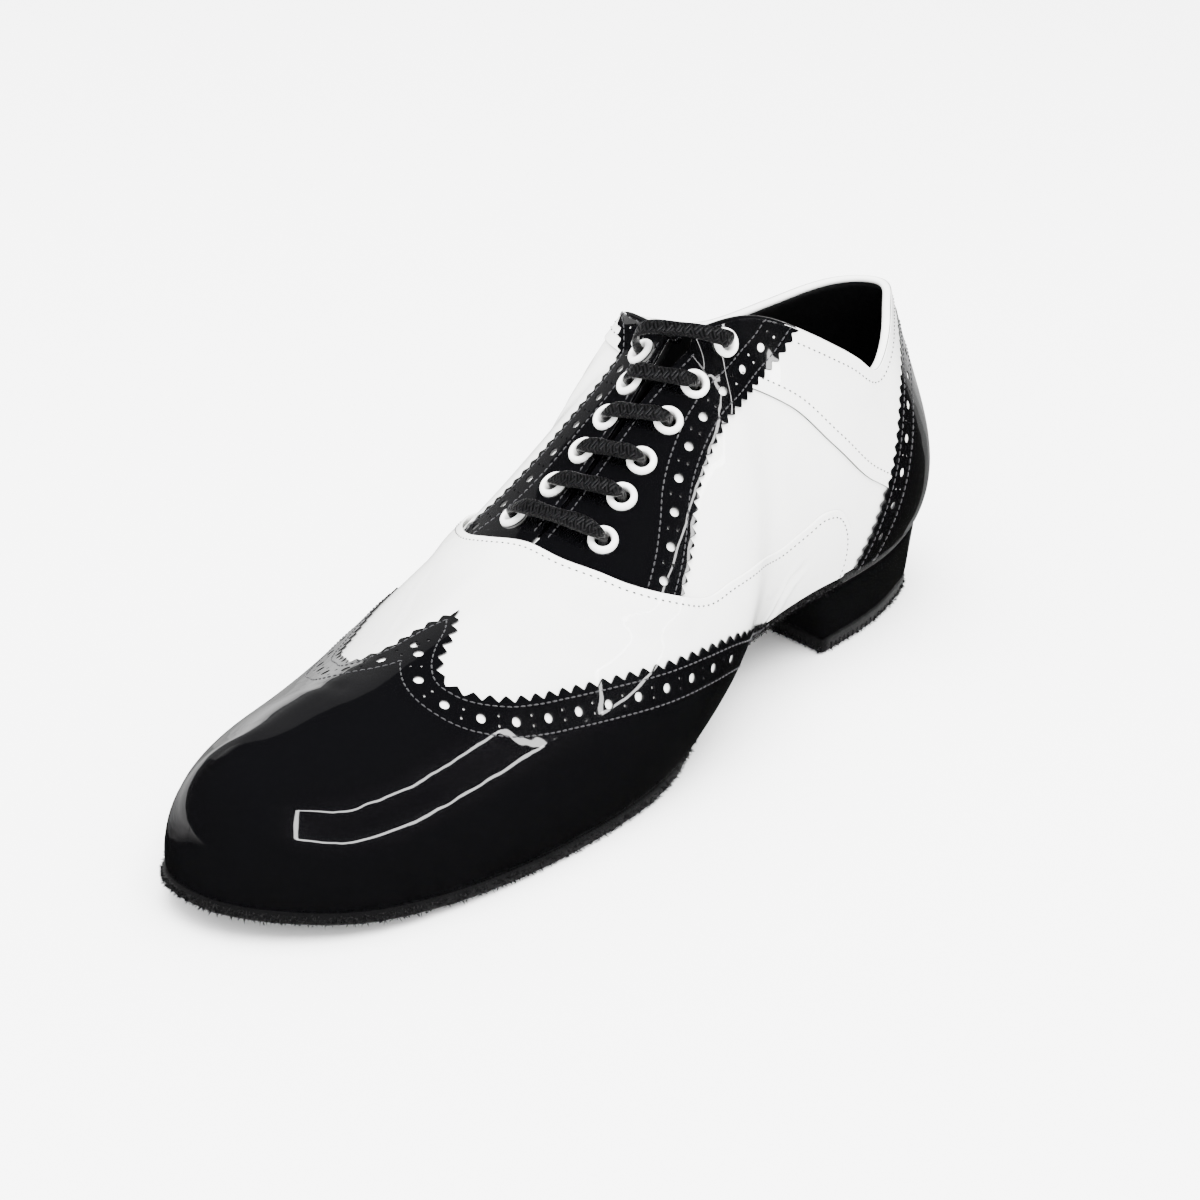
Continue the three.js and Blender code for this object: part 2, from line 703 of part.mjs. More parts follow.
function ledge(place) {
  const along = (HEEL_REACH - ring.y(place)) / LAST_LENGTH;
  const t = Math.min(1, Math.max(0, (along - LEDGE_STARTS) / (LEDGE_FULL - LEDGE_STARTS)));
  return SOLE_LEDGE * t * t * (3 - 2 * t);
}

// Place on the lateral side where the feather line passes a given y
function placeAt(y) {
  const halvings = 30;
  let low = CREST_END;
  let high = LAST_ROW;
  for (let halving = 0; halving < halvings; halving += 1) {
    const middle = (low + high) / 2;
    if (ring.y(middle) < y) {
      low = middle;
    } else {
      high = middle;
    }
  }
  return low;
}

// One outline of the heel: round its back along the feather line, then straight across the breast
function heelOutline(z) {
  const share = z / HEEL_HEIGHT;
  const front = yAt(HEEL_BREAST_ALONG) - BREAST_SLANT * share * share;
  const scale = 1 - HEEL_TAPER * (1 - share);
  const start = placeAt(front);
  const end = 2 * LAST_ROW - start;
  const points = [];
  for (let step = 0; step <= HEEL_STEPS; step += 1) {
    const foot = featherPoint(start + (end - start) * step / HEEL_STEPS);
    points.push([foot.x * scale, step === 0 || step === HEEL_STEPS ? front : foot.y * scale]);
  }
  const right = points[HEEL_STEPS];
  const left = points[0];
  for (let step = 1; step < 2 * BREAST_STEPS; step += 1) {
    const t = step / (2 * BREAST_STEPS);
    points.push([right[0] + (left[0] - right[0]) * t, front + HEEL_HOLLOW * Math.sin(Math.PI * t)]);
  }
  return points;
}

// The heel's solids stand between two heights. The ring starts in the middle of the breast.
function heelBlock(bottom, top) {
  const shift = HEEL_STEPS + BREAST_STEPS;
  const lower = heelOutline(bottom);
  const upper = heelOutline(top);
  const count = lower.length;
  const vertices = [];
  for (let step = 0; step < count; step += 1) {
    const place = (step + shift) % count;
    const [lx, ly] = lower[place];
    const [ux, uy] = upper[place];
    vertices.push(new THREE.Vector3(lx, ly, bottom));
    vertices.push(new THREE.Vector3(ux, uy, Math.min(top, soleBottom(uy) - CLEARANCE)));
  }
  return prismFrom(vertices, count);
}

// The tongue: a strip of a form inside the upper, its front end standing up to the upper's inner face
function tongueSolid() {
  const strip = (front, back) => cutter([
    [LACE_LINE - TONGUE_HALF_WIDTH, yAt(front)], [LACE_LINE + TONGUE_HALF_WIDTH, yAt(front)],
    [LACE_LINE + TONGUE_HALF_WIDTH, yAt(back)], [LACE_LINE - TONGUE_HALF_WIDTH, yAt(back)],
  ], false, HEEL_HEIGHT, CEILING);
  const underside = lastForm(-TONGUE_DEPTH - TONGUE_THICKNESS, BEYOND, BEYOND);
  const blade = lastForm(-TONGUE_DEPTH).subtract(underside)
    .intersect(strip(TONGUE_ALONG.front, TONGUE_ALONG.back));
  const seam = lastForm(-UPPER_WALL - CLEARANCE).subtract(underside)
    .intersect(strip(TONGUE_ALONG.front, TONGUE_ALONG.seam));
  return blade.add(seam);
}

// The lace's cross-sections in order, each with its middle, its width's direction and its half sizes
function laceSections() {
  const sections = [];
  const bars = named(barColumns, barRows);
  const turns = named(turnColumns, turnRows);
  const seatOf = (side, row) => eyelets[side][row - 1];
  const towardsToe = (side, row) => {
    const first = Math.min(row, eyeletRows[side].length - 1);
    return seatOf(side, first + 1).point.clone().sub(seatOf(side, first).point);
  };
  const flatten = (direction, normal) => (
    direction.clone().addScaledVector(normal, -direction.dot(normal)).normalize());
  const add = (seat, shifts, across, half, thick) => {
    const middle = seat.point.clone();
    shifts.forEach(([direction, amount]) => middle.addScaledVector(direction, amount));
    sections.push({ middle, across, half, thick });
  };
  const inside = (side, row, lengthwise, aside) => {
    const seat = seatOf(side, row);
    const toe = flatten(towardsToe(side, row), seat.normal);
    const out = seat.normal.clone().cross(toe).multiplyScalar(side === 'medial' ? 1 : -1);
    const across = out.clone().multiplyScalar(side === 'medial' ? 1 : -1);
    const shifts = [[toe, lengthwise], [out, aside * LACE_PASS], [seat.normal, -LACE_INSIDE]];
    add(seat, shifts, across, LACE_HIDDEN_HALF, LACE_THICKNESS / 2);
  };
  const bore = (side, row, off) => {
    const seat = seatOf(side, row);
    const toe = flatten(towardsToe(side, row), seat.normal);
    const across = seat.normal.clone().cross(toe);
    add(seat, [[seat.normal, off]], across, LACE_ROUND_RADIUS, LACE_ROUND_RADIUS);
  };
  bars.forEach((bar, number) => {
    const to = bar.from === 'medial' ? 'lateral' : 'medial';
    const start = seatOf(bar.from, bar.row);
    const end = seatOf(to, bar.row);
    const span = end.point.clone().sub(start.point);
    const away = (seat, sign) => flatten(span.clone().multiplyScalar(sign), seat.normal);
    const half = (seat, sign, side) => turns.map((turn) => [
      seat, [[away(seat, sign), turn.away], [seat.normal, turn.off + bar.lift * turn.away / LACE_PASS]],
      flatten(towardsToe(side, bar.row), seat.normal), turn.half, turn.thick]);
    bore(bar.from, bar.row, number === 0 ? -LACE_INSIDE : -LACE_TURN);
    half(start, 1, bar.from).forEach((values) => add(...values));
    const middle = {
      point: start.point.clone().lerp(end.point, 0.5),
      normal: start.normal.clone().add(end.normal).normalize(),
    };
    add(middle, [[middle.normal, LACE_OVER + bar.arch]],
      flatten(towardsToe(to, bar.row), middle.normal), LACE_WIDTH / 2, LACE_THICKNESS / 2);
    half(end, -1, to).reverse().forEach((values) => add(...values));
    bore(to, bar.row, -LACE_TURN);
    const next = bars[number + 1];
    if (!next) {
      inside(to, bar.row, -LACE_TURN, 0);
      inside(to, bar.row - 1, LACE_PASS, bar.aside);
      return;
    }
    const heading = Math.sign(next.row - bar.row);
    inside(to, bar.row, heading * LACE_TURN, 0);
    if (bar.aside !== 0) {
      inside(to, bar.row + heading, 0, bar.aside);
    }
    inside(to, next.row, -heading * LACE_TURN, 0);
  });
  return sections;
}

// The lace as one solid with six-cornered sections
function laceSolid() {
  const sections = laceSections();
  const corners = [
    [1, 0], [LACE_CORNER, 1], [-LACE_CORNER, 1], [-1, 0], [-LACE_CORNER, -1], [LACE_CORNER, -1],
  ];
  const vertices = [];
  sections.forEach(({ middle, across, half, thick }, number) => {
    const before = sections[Math.max(0, number - 1)].middle;
    const after = sections[Math.min(sections.length - 1, number + 1)].middle;
    const run = after.clone().sub(before).normalize();
    const wide = across.clone().addScaledVector(run, -across.dot(run)).normalize();
    const deep = run.clone().cross(wide);
    corners.forEach(([a, b]) => {
      vertices.push(middle.clone().addScaledVector(wide, a * half).addScaledVector(deep, b * thick));
    });
  });
  const sides = corners.length;
  const triangles = [];
  for (let number = 0; number < sections.length - 1; number += 1) {
    for (let side = 0; side < sides; side += 1) {
      const a = number * sides + side;
      const b = number * sides + ((side + 1) % sides);
      triangles.push([a, b, b + sides]);
      triangles.push([a, b + sides, a + sides]);
    }
  }
  const last = (sections.length - 1) * sides;
  for (let side = 1; side < sides - 1; side += 1) {
    triangles.push([0, side + 1, side]);
    triangles.push([last, last + side, last + side + 1]);
  }
  return solidFrom(vertices, triangles);
}

const patentWhite = new THREE.MeshStandardMaterial({ color: '#f4f4f1', roughness: 0.12, metalness: 0 });
const patentBlack = new THREE.MeshStandardMaterial({ color: '#070708', roughness: 0.08, metalness: 0 });
const enamelWhite = new THREE.MeshStandardMaterial({ color: '#f6f6f4', roughness: 0.3, metalness: 0.1 });
const suede = new THREE.MeshStandardMaterial({ color: '#17171a', roughness: 0.95, metalness: 0 });
const sock = new THREE.MeshStandardMaterial({ color: '#101012', roughness: 0.8, metalness: 0 });
const softBlack = new THREE.MeshStandardMaterial({ color: '#0d0d0e', roughness: 0.5, metalness: 0 });
const braid = new THREE.MeshStandardMaterial({ color: '#0b0b0c', roughness: 0.7, metalness: 0 });

const shoe = new THREE.Group();

const gap = gapCutter();
const upper = punched(lastForm(0).subtract(lastForm(-UPPER_WALL, BEYOND, BEYOND)).subtract(gap));
shoe.add(asMesh('upper', upper, patentWhite));

shoe.add(asMesh('wing_cap', overlay.intersect(wingCutter()), patentBlack));
shoe.add(asMesh('counter', overlay.intersect(counterCutter()), patentBlack));
const faced = punched(overlay.subtract(gap));
shoe.add(asMesh('facing_medial', faced.intersect(facingCutter(facingEdgeMedial, 1)), patentBlack));
shoe.add(asMesh('facing_lateral', faced.intersect(facingCutter(facingEdgeLateral, -1)), patentBlack));

for (const [side, seats] of Object.entries(eyelets)) {
  seats.forEach((seat, row) => {
    const ringMesh = new THREE.Mesh(facing(eyeletGeometry(), seat), enamelWhite);
    ringMesh.name = `eyelet_${side}_${row + 1}`;
    shoe.add(ringMesh);
  });
}

shoe.add(asMesh('tongue', tongueSolid(), softBlack));
shoe.add(asMesh('lace', laceSolid(), braid));
shoe.add(asMesh('outsole', slab(ledge, 0, SOLE_THICKNESS), suede));
const insoleBase = SOLE_THICKNESS + CLEARANCE;
const insoleReach = () => -(UPPER_WALL * INSOLE_INSET + CLEARANCE);
shoe.add(asMesh('insole', slab(insoleReach, insoleBase, insoleBase + INSOLE_THICKNESS), sock));
shoe.add(asMesh('heel', heelBlock(LIFT_THICKNESS + CLEARANCE, HEEL_HEIGHT - CLEARANCE), patentBlack));
shoe.add(asMesh('top_lift', heelBlock(0, LIFT_THICKNESS), suede));

export default shoe;
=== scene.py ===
"""A right spectator shoe, a black and white patent leather wing-tip oxford, as a Blender add-on.

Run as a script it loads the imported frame, makes every piece on the frame's own measures and adds
the studio. Lengths in the tables are millimetres or shares of the named sizes, as in the frame.
"""

import math

import bmesh
import bpy
import numpy as np
from mathutils import Matrix, Vector
from mathutils.bvhtree import BVHTree
from mathutils.geometry import delaunay_2d_cdt
from mathutils.kdtree import KDTree


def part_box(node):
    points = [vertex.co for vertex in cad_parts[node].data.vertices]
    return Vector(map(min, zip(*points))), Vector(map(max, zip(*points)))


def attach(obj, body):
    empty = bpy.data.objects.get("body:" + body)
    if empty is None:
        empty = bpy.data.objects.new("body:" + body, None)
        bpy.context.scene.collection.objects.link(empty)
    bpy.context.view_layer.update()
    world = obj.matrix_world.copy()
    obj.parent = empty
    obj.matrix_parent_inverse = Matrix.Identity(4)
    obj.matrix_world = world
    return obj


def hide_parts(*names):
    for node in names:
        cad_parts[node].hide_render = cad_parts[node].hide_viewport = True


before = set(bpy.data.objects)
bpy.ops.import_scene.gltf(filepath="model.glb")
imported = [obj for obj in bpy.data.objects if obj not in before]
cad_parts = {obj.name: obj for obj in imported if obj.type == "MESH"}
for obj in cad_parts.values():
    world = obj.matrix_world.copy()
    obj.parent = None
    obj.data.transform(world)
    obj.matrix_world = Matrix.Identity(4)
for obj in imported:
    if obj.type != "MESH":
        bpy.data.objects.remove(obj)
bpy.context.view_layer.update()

bl_info = {
    "name": "Spectator shoe",
    "version": (1, 0, 0),
    "blender": (4, 5, 0),
    "location": "View3D > Sidebar > Shoe",
    "description": "Builds a patent leather wing-tip oxford and its studio",
    "category": "Add Mesh",
}

MM = 0.001

# The last and its layers, as in the frame
LAST_LENGTH = 290.0
BALL_WIDTH = 100.0
INSTEP_HEIGHT = 92.0
HEEL_HEIGHT = 22.0
TOE_SPRING = 6.5
HEEL_REACH = 34.5
CREST_SHIFT = 3.0
CREST_SHIFT_ROWS = 5.0
CREST_FADE_ROWS = 2.5
UPPER_WALL = 2.0
SOLE_THICKNESS = 3.2
SOLE_LEDGE = 2.0
LIFT_THICKNESS = 5.0
CLEARANCE = 0.3
TOE_LIFT_ALONG = 0.688
WAIST_LIFT_ALONG = 0.55
BREAST_ALONG = 0.233
HEEL_BREAST_ALONG = 0.226
LEDGE_STARTS = 0.42
LEDGE_FULL = 0.56
HALF_BALL = BALL_WIDTH / 2

# Rows from the toe's tip to the heel's back: along, out, bulge, rise, spread, drop
LATERAL_ROWS = [
    (1.0, 0.0, 0.04, 0.19, 0.27, 0.0),
    (0.993, 0.18, 0.04, 0.19, 0.27, 0.0),
    (0.968, 0.32, 0.05, 0.19, 0.28, 0.01),
    (0.92, 0.55, 0.05, 0.18, 0.28, 0.02),
    (0.86, 0.74, 0.06, 0.17, 0.26, 0.04),
    (0.79, 0.885, 0.06, 0.17, 0.22, 0.055),
    (0.71, 0.975, 0.08, 0.19, 0.27, 0.055),
    (0.63, 0.98, 0.13, 0.26, 0.46, 0.03),
    (0.55, 0.88, 0.18, 0.35, 0.58, 0.06),
    (0.47, 0.765, 0.21, 0.43, 0.63, 0.09),
    (0.43, 0.72, 0.22, 0.44, 0.46, 0.14),
    (0.39, 0.68, 0.2, 0.42, 0.27, 0.2),
    (0.34, 0.66, 0.16, 0.33, 0.13, 0.26),
    (0.29, 0.65, 0.15, 0.3, 0.12, 0.25),
    (0.24, 0.64, 0.14, 0.27, 0.11, 0.23),
    (0.19, 0.625, 0.14, 0.26, 0.1, 0.22),
    (0.13, 0.59, 0.15, 0.25, 0.12, 0.22),
    (0.075, 0.515, 0.16, 0.25, 0.14, 0.22),
    (0.022, 0.36, 0.15, 0.25, 0.12, 0.22),
    (0.0, 0.0, 0.15, 0.25, 0.12, 0.22),
]
MEDIAL_ROWS = [
    (1.0, 0.0, 0.04, 0.19, 0.27, 0.0),
    (0.993, 0.2, 0.04, 0.19, 0.27, 0.0),
    (0.968, 0.41, 0.06, 0.2, 0.3, 0.0),
    (0.92, 0.645, 0.09, 0.22, 0.36, 0.0),
    (0.86, 0.785, 0.12, 0.26, 0.42, 0.0),
    (0.79, 0.87, 0.15, 0.29, 0.44, 0.0),
    (0.71, 0.92, 0.17, 0.31, 0.45, 0.0),
    (0.63, 0.93, 0.23, 0.33, 0.44, 0.0),
    (0.55, 0.88, 0.36, 0.35, 0.4, 0.01),
    (0.47, 0.75, 0.48, 0.35, 0.32, 0.1),
    (0.43, 0.655, 0.5, 0.34, 0.24, 0.18),
    (0.39, 0.58, 0.43, 0.32, 0.17, 0.25),
    (0.34, 0.555, 0.34, 0.3, 0.14, 0.28),
    (0.29, 0.585, 0.24, 0.28, 0.12, 0.27),
    (0.24, 0.612, 0.17, 0.27, 0.11, 0.24),
    (0.19, 0.615, 0.14, 0.26, 0.1, 0.22),
    (0.13, 0.59, 0.15, 0.25, 0.12, 0.22),
    (0.075, 0.515, 0.16, 0.25, 0.14, 0.22),
    (0.022, 0.36, 0.15, 0.25, 0.12, 0.22),
    (0.0, 0.0, 0.15, 0.25, 0.12, 0.22),
]
# Top points, along, out and height: the crest of the forepart, then the collar's topline
CREST_ROWS = [
    (0.929, 0.0, 0.383),
    (0.924, 0.0, 0.386),
    (0.909, 0.0, 0.398),
    (0.878, 0.0, 0.421),
    (0.833, 0.0, 0.458),
    (0.774, 0.0, 0.492),
    (0.688, 0.0, 0.554),
    (0.591, 0.0, 0.63),
    (0.481, 0.0, 0.83),
    (0.3845, 0.0, 0.99),
]
LATERAL_COLLAR = [
    (0.3845, -0.06, 0.99),
    (0.371, 0.24, 0.968),
    (0.357, 0.44, 0.934),
    (0.324, 0.51, 0.848),
    (0.288, 0.5, 0.775),
    (0.25, 0.47, 0.717),
    (0.205, 0.45, 0.694),
    (0.15, 0.446, 0.688),
    (0.098, 0.43, 0.69),
    (0.048, 0.28, 0.725),
    (0.031, 0.0, 0.75),
]
MEDIAL_COLLAR = [
    (0.3845, 0.06, 0.99),
    (0.3655, 0.17, 0.999),
    (0.319, 0.23, 0.955),
    (0.2845, 0.33, 0.899),
    (0.252, 0.42, 0.829),
    (0.219, 0.49, 0.763),
    (0.188, 0.52, 0.696),
    (0.157, 0.51, 0.642),
    (0.114, 0.4, 0.697),
    (0.065, 0.2, 0.738),
    (0.031, 0.0, 0.75),
]
CREST_END = len(CREST_ROWS) - 1
LAST_ROW = len(LATERAL_ROWS) - 1
ROUND = 2 * LAST_ROW

# Edges of the overlays, seen from the side: along, height
WING_TAIL_MEDIAL = [
    (0.727, 0.446), (0.696, 0.431), (0.664, 0.42), (0.6145, 0.409), (0.559, 0.404),
    (0.5, 0.378), (0.447, 0.31), (0.395, 0.19), (0.35, 0.07), (0.318, 0.0),
]
WING_TAIL_LATERAL = [
    (0.76, 0.405), (0.739, 0.363), (0.695, 0.345), (0.636, 0.337), (0.5535, 0.326),
    (0.4914, 0.29), (0.4293, 0.212), (0.3776, 0.126), (0.34, 0.045), (0.315, 0.0),
]
COUNTER_FRONT = [
    (0.0403, 0.67), (0.0707, 0.64), (0.1155, 0.549), (0.1407, 0.423), (0.1634, 0.261),
    (0.179, 0.13), (0.1945, 0.0),
]
FACING_MEDIAL = [
    (0.2672, 0.861), (0.29, 0.807), (0.334, 0.778), (0.383, 0.776), (0.415, 0.745), (0.446, 0.695),
    (0.4655, 0.641), (0.487, 0.583), (0.51, 0.528), (0.533, 0.474),
]
# Front ends of the facings under the vamp: x, y, from the pinked edge to the lacing line
FACING_FRONT_MEDIAL = [(39.0, -126.0), (31.0, -133.5), (22.0, -138.0), (12.0, -140.5), (3.6, -141.0)]
FACING_FRONT_LATERAL = [(-28.0, -132.5), (-21.0, -137.5), (-12.0, -140.5), (2.2, -141.0)]
FACING_LATERAL = [
    (0.355, 0.924), (0.39, 0.855), (0.42, 0.815), (0.4455, 0.772), (0.487, 0.7), (0.52, 0.63),
    (0.548, 0.55), (0.572, 0.48),
]
VAMP_SIDE_MEDIAL = [
    (0.4797, 0.481), (0.4414, 0.453), (0.3934, 0.396), (0.3369, 0.304), (0.2952, 0.288),
    (0.2645, 0.292), (0.2397, 0.267), (0.2238, 0.204), (0.2131, 0.089), (0.2114, 0.0),
]
VAMP_SIDE_LATERAL = [
    (0.4797, 0.47), (0.4414, 0.43), (0.3934, 0.372), (0.3369, 0.304), (0.2952, 0.288),
    (0.2645, 0.292), (0.2397, 0.267), (0.2238, 0.204), (0.2131, 0.089), (0.2114, 0.0),
]
COLLAR_SEAM = [
    (0.395, 0.9), (0.36, 0.845), (0.3424, 0.808), (0.2921, 0.67), (0.2441, 0.493), (0.1928, 0.339),
    (0.1614, 0.275), (0.15, 0.25),
]
# Edges seen from above. The wing's peak: along, out, from the outer valley over the tip
WING_PEAK_OUTER = [(0.772, -0.178), (0.761, -0.042), (0.7345, 0.004), (0.7086, 0.048), (0.6866, 0.112)]
WING_PEAK_INNER = [(0.711, 0.224), (0.738, 0.294), (0.752, 0.35), (0.7593, 0.412), (0.757, 0.47)]
# The throat: x, y, from the outer side to the inner
THROAT = [
    (-33.0, -121.0), (-27.5, -127.0), (-21.0, -131.4), (-12.5, -133.8), (2.0, -134.2),
    (13.6, -133.6), (23.2, -129.6), (29.2, -126.1), (33.2, -122.5), (36.6, -118.1),
]
# Half the gap between the facings about the lacing line
LACE_LINE = 3.5
GAP_ROWS = [
    (0.571, 0.016), (0.53, 0.02), (0.48, 0.024), (0.446, 0.028), (0.419, 0.038),
    (0.395, 0.056), (0.374, 0.076), (0.34, 0.1),
]
EYELETS = {
    "medial": [
        (0.351, 0.24), (0.393, 0.244), (0.432, 0.256), (0.472, 0.276), (0.5045, 0.308),
        (0.542, 0.368),
    ],
    "lateral": [
        (0.393, -0.12), (0.4235, -0.045), (0.4555, -0.045), (0.486, -0.06), (0.519, -0.092),
        (0.5535, -0.196),
    ],
}
# The lace's bars in the order that it takes them: row, from, aside, arch, lift
LACE_BARS = [
    (1, "lateral", 1, 6.4, 3.0), (3, "medial", 1, 1.8, 0.0), (5, "lateral", 0, 2.0, 0.0),
    (6, "medial", -1, 3.4, 0.6), (4, "lateral", -1, 1.6, 0.0), (2, "medial", -1, 2.2, 0.3),
]
# Its sections out of an eyelet: away, off, half width, half thickness
LACE_TURNS = [(0.0, 0.9, 1.3, 1.2), (0.15, 2.5, 1.3, 1.1), (1.3, 3.75, 1.8, 0.85), (3.3, 4.15, 2.3, 0.7)]
LACE_WIDTH = 4.6
LACE_THICKNESS = 1.4
LACE_ROUND_RADIUS = 1.3
LACE_PASS = 3.7
LACE_INSIDE = 3.9
LACE_HIDDEN_HALF = 1.5
LACE_TURN = 1.5
LACE_OVER = 3.6

# Heights of the layers above the last's skin
VAMP_TOP = 0.6
FACING_TOP = 1.0
COLLAR_TOP = 0.7
WING_FOOT = 0.5
WING_TOP = 1.25


def smoothstep(t):
    t = np.clip(t, 0.0, 1.0)
    return t * t * (3 - 2 * t)


def unit(vectors):
    return vectors / np.maximum(np.linalg.norm(vectors, axis=-1, keepdims=True), 1e-12)


def smooth_curve(values, closed=False):
    """A smooth curve through evenly numbered values, as in the frame."""
    values = np.asarray(values, float)
    count = len(values)
    slopes = [0.0] * count
    for _ in range(40):
        for row in range(count):
            if not closed and row == 0:
                slopes[row] = (3 * (values[1] - values[0]) - slopes[1]) / 2
            elif not closed and row == count - 1:
                slopes[row] = (3 * (values[row] - values[row - 1]) - slopes[row - 1]) / 2
            else:
                before = (row - 1) % count
                after = (row + 1) % count
                slopes[row] = (3 * (values[after] - values[before]) - slopes[before] - slopes[after]) / 4
    slopes = np.array(slopes)

    def at(place):
        place = np.asarray(place, float)
        low = np.floor(place)
        if not closed:
            low = np.clip(low, 0, count - 2)
        t = place - low
        a = low.astype(int) % count
        b = (a + 1) % count
        swing = values[a] - values[b]
        bend = -3 * swing - 2 * slopes[a] - slopes[b]
        return values[a] + t * (slopes[a] + t * (bend + t * (2 * swing + slopes[a] + slopes[b])))

    return at


def y_at(along):
    return HEEL_REACH - LAST_LENGTH * np.asarray(along, float)


def sole_bottom(y):
    """Underside of the sole: flat under the ball, rising to the toe and over the waist to the heel."""
    along = (HEEL_REACH - y) / LAST_LENGTH
    toe = np.maximum(0, (along - TOE_LIFT_ALONG) / (1 - TOE_LIFT_ALONG))
    climb = smoothstep((WAIST_LIFT_ALONG - along) / (WAIST_LIFT_ALONG - BREAST_ALONG))
    return TOE_SPRING * toe * toe + HEEL_HEIGHT * climb


def feather_height(y):
    return sole_bottom(y) + SOLE_THICKNESS + CLEARANCE


RING_ROWS = [(-1, *row) for row in LATERAL_ROWS] + [(1, *row) for row in MEDIAL_ROWS[-2:0:-1]]
RING = {
    "x": smooth_curve([side * out * HALF_BALL for side, _, out, *_ in RING_ROWS], True),
    "y": smooth_curve([y_at(row[1]) for row in RING_ROWS], True),
    "bulge": smooth_curve([row[3] * HALF_BALL for row in RING_ROWS], True),
    "rise": smooth_curve([row[4] * INSTEP_HEIGHT for row in RING_ROWS], True),
    "spread": smooth_curve([row[5] * HALF_BALL for row in RING_ROWS], True),
    "drop": smooth_curve([row[6] * INSTEP_HEIGHT for row in RING_ROWS], True),
}
CREST = {
    "y": smooth_curve([y_at(row[0]) for row in CREST_ROWS]),
    "height": smooth_curve([row[2] * INSTEP_HEIGHT for row in CREST_ROWS]),
}
COLLAR_ROWS = [(-1, *row) for row in LATERAL_COLLAR] + [(1, *row) for row in MEDIAL_COLLAR[-2::-1]]
COLLAR = {
    "x": smooth_curve([row[0] * row[2] * HALF_BALL for row in COLLAR_ROWS]),
    "y": smooth_curve([y_at(row[1]) for row in COLLAR_ROWS]),
    "height": smooth_curve([row[3] * INSTEP_HEIGHT for row in COLLAR_ROWS]),
}


def row_from_tip(place):
    """Rows from the toe's tip, the same on both sides."""
    place = np.asarray(place, float) % ROUND
    return np.minimum(place, ROUND - place)


def crest_point(row):
    y = CREST["y"](row)
    x = CREST_SHIFT * smoothstep(row / CREST_SHIFT_ROWS)
    return np.stack([x, y, feather_height(y) + CREST["height"](row)], -1)


def top_point(place):
    row = row_from_tip(place)
    on_collar = np.clip(np.asarray(place, float) % ROUND - CREST_END, 0, len(COLLAR_ROWS) - 1)
    y = COLLAR["y"](on_collar)
    collar = np.stack([COLLAR["x"](on_collar), y, feather_height(y) + COLLAR["height"](on_collar)], -1)
    return np.where((row <= CREST_END)[:, None], crest_point(np.minimum(row, CREST_END)), collar)


def feather_point(place):
    y = RING["y"](place)
    return np.stack([RING["x"](place), y, feather_height(y)], -1)


def outward(place):
    run = feather_point(place + 0.02) - feather_point(place - 0.02)
    return unit(np.stack([-run[:, 1], run[:, 0], np.zeros(len(run))], -1))


def profile(place):
    """Corner points of the skin's cubic profiles, from the feather line to the top point."""
    place = np.asarray(place, float) % ROUND
    row = row_from_tip(place)
    foot = feather_point(place)
    top = top_point(place)
    out = outward(place)
    spread = RING["spread"](place)
    low = foot + out * RING["bulge"](place)[:, None]
    low[:, 2] += RING["rise"](place)
    high = top + out * spread[:, None]
    crested = smoothstep((CREST_END - row) / CREST_FADE_ROWS)
    own = RING["drop"](place) / spread
    other = RING["drop"](ROUND - place) / RING["spread"](ROUND - place)
    fall = own + crested * ((own - other) / 2 - own)
    crest_row = np.minimum(row, CREST_END)
    run = crest_point(crest_row + 0.05) - crest_point(np.maximum(crest_row - 0.05, 0))
    high[:, 2] += spread * (out[:, 1] * run[:, 2] / run[:, 1] * crested - fall)
    return foot, low, high, top


def skin(place, v):
    """Points of the last's skin, from place (rows round the shoe) and v (0 feather line, 1 top)."""
    foot, low, high, top = profile(place)
    v = np.asarray(v, float)[:, None]
    w = 1 - v
    return w**3 * foot + 3 * w * w * v * low + 3 * w * v * v * high + v**3 * top


def side_normal(place, v):
    """Normals from the skin's own slopes on one side."""
    step = 0.02
    v = np.where(row_from_tip(place) < 0.6, np.minimum(v, 0.985), v)
    up = skin(place, np.minimum(v + step, 1)) - skin(place, np.maximum(v - step, 0))
    ahead = skin(place + step, v) - skin(place - step, v)
    return unit(np.cross(up, ahead))


def skin_normal(place, v):
    """Normals that both sides share along the crest."""
    place = np.asarray(place, float)
    v = np.asarray(v, float)
    own = side_normal(place, v)
    row = row_from_tip(place)
    ones = np.ones(len(place))
    shared = unit(side_normal(row, ones) + side_normal(ROUND - row, ones))
    weight = smoothstep((v - 0.84) / 0.16) * smoothstep((CREST_END - 0.3 - row) / 0.6)
    return unit(own + weight[:, None] * (shared - own))


# Soft troughs and ridges in the leather: depth, half width, then x, y, z along the line
FOLDS = [
    (0.22, 2.2, [(-12.0, -203.0, 42.5), (-1.0, -206.0, 46.0), (9.5, -206.0, 47.4)]),
    (0.25, 2.0, [(-8.0, -192.0, 44.0), (4.0, -189.0, 46.0), (14.0, -191.0, 46.0)]),
    (0.7, 1.3, [(28.0, -58.6, 20.0), (31.5, -58.4, 29.7), (33.1, -55.8, 35.7), (33.6, -48.0, 39.0)]),
    (0.4, 1.8, [(-6.0, -255.0, 27.0), (-7.0, -256.5, 20.0), (-7.0, -256.0, 12.0)]),
]


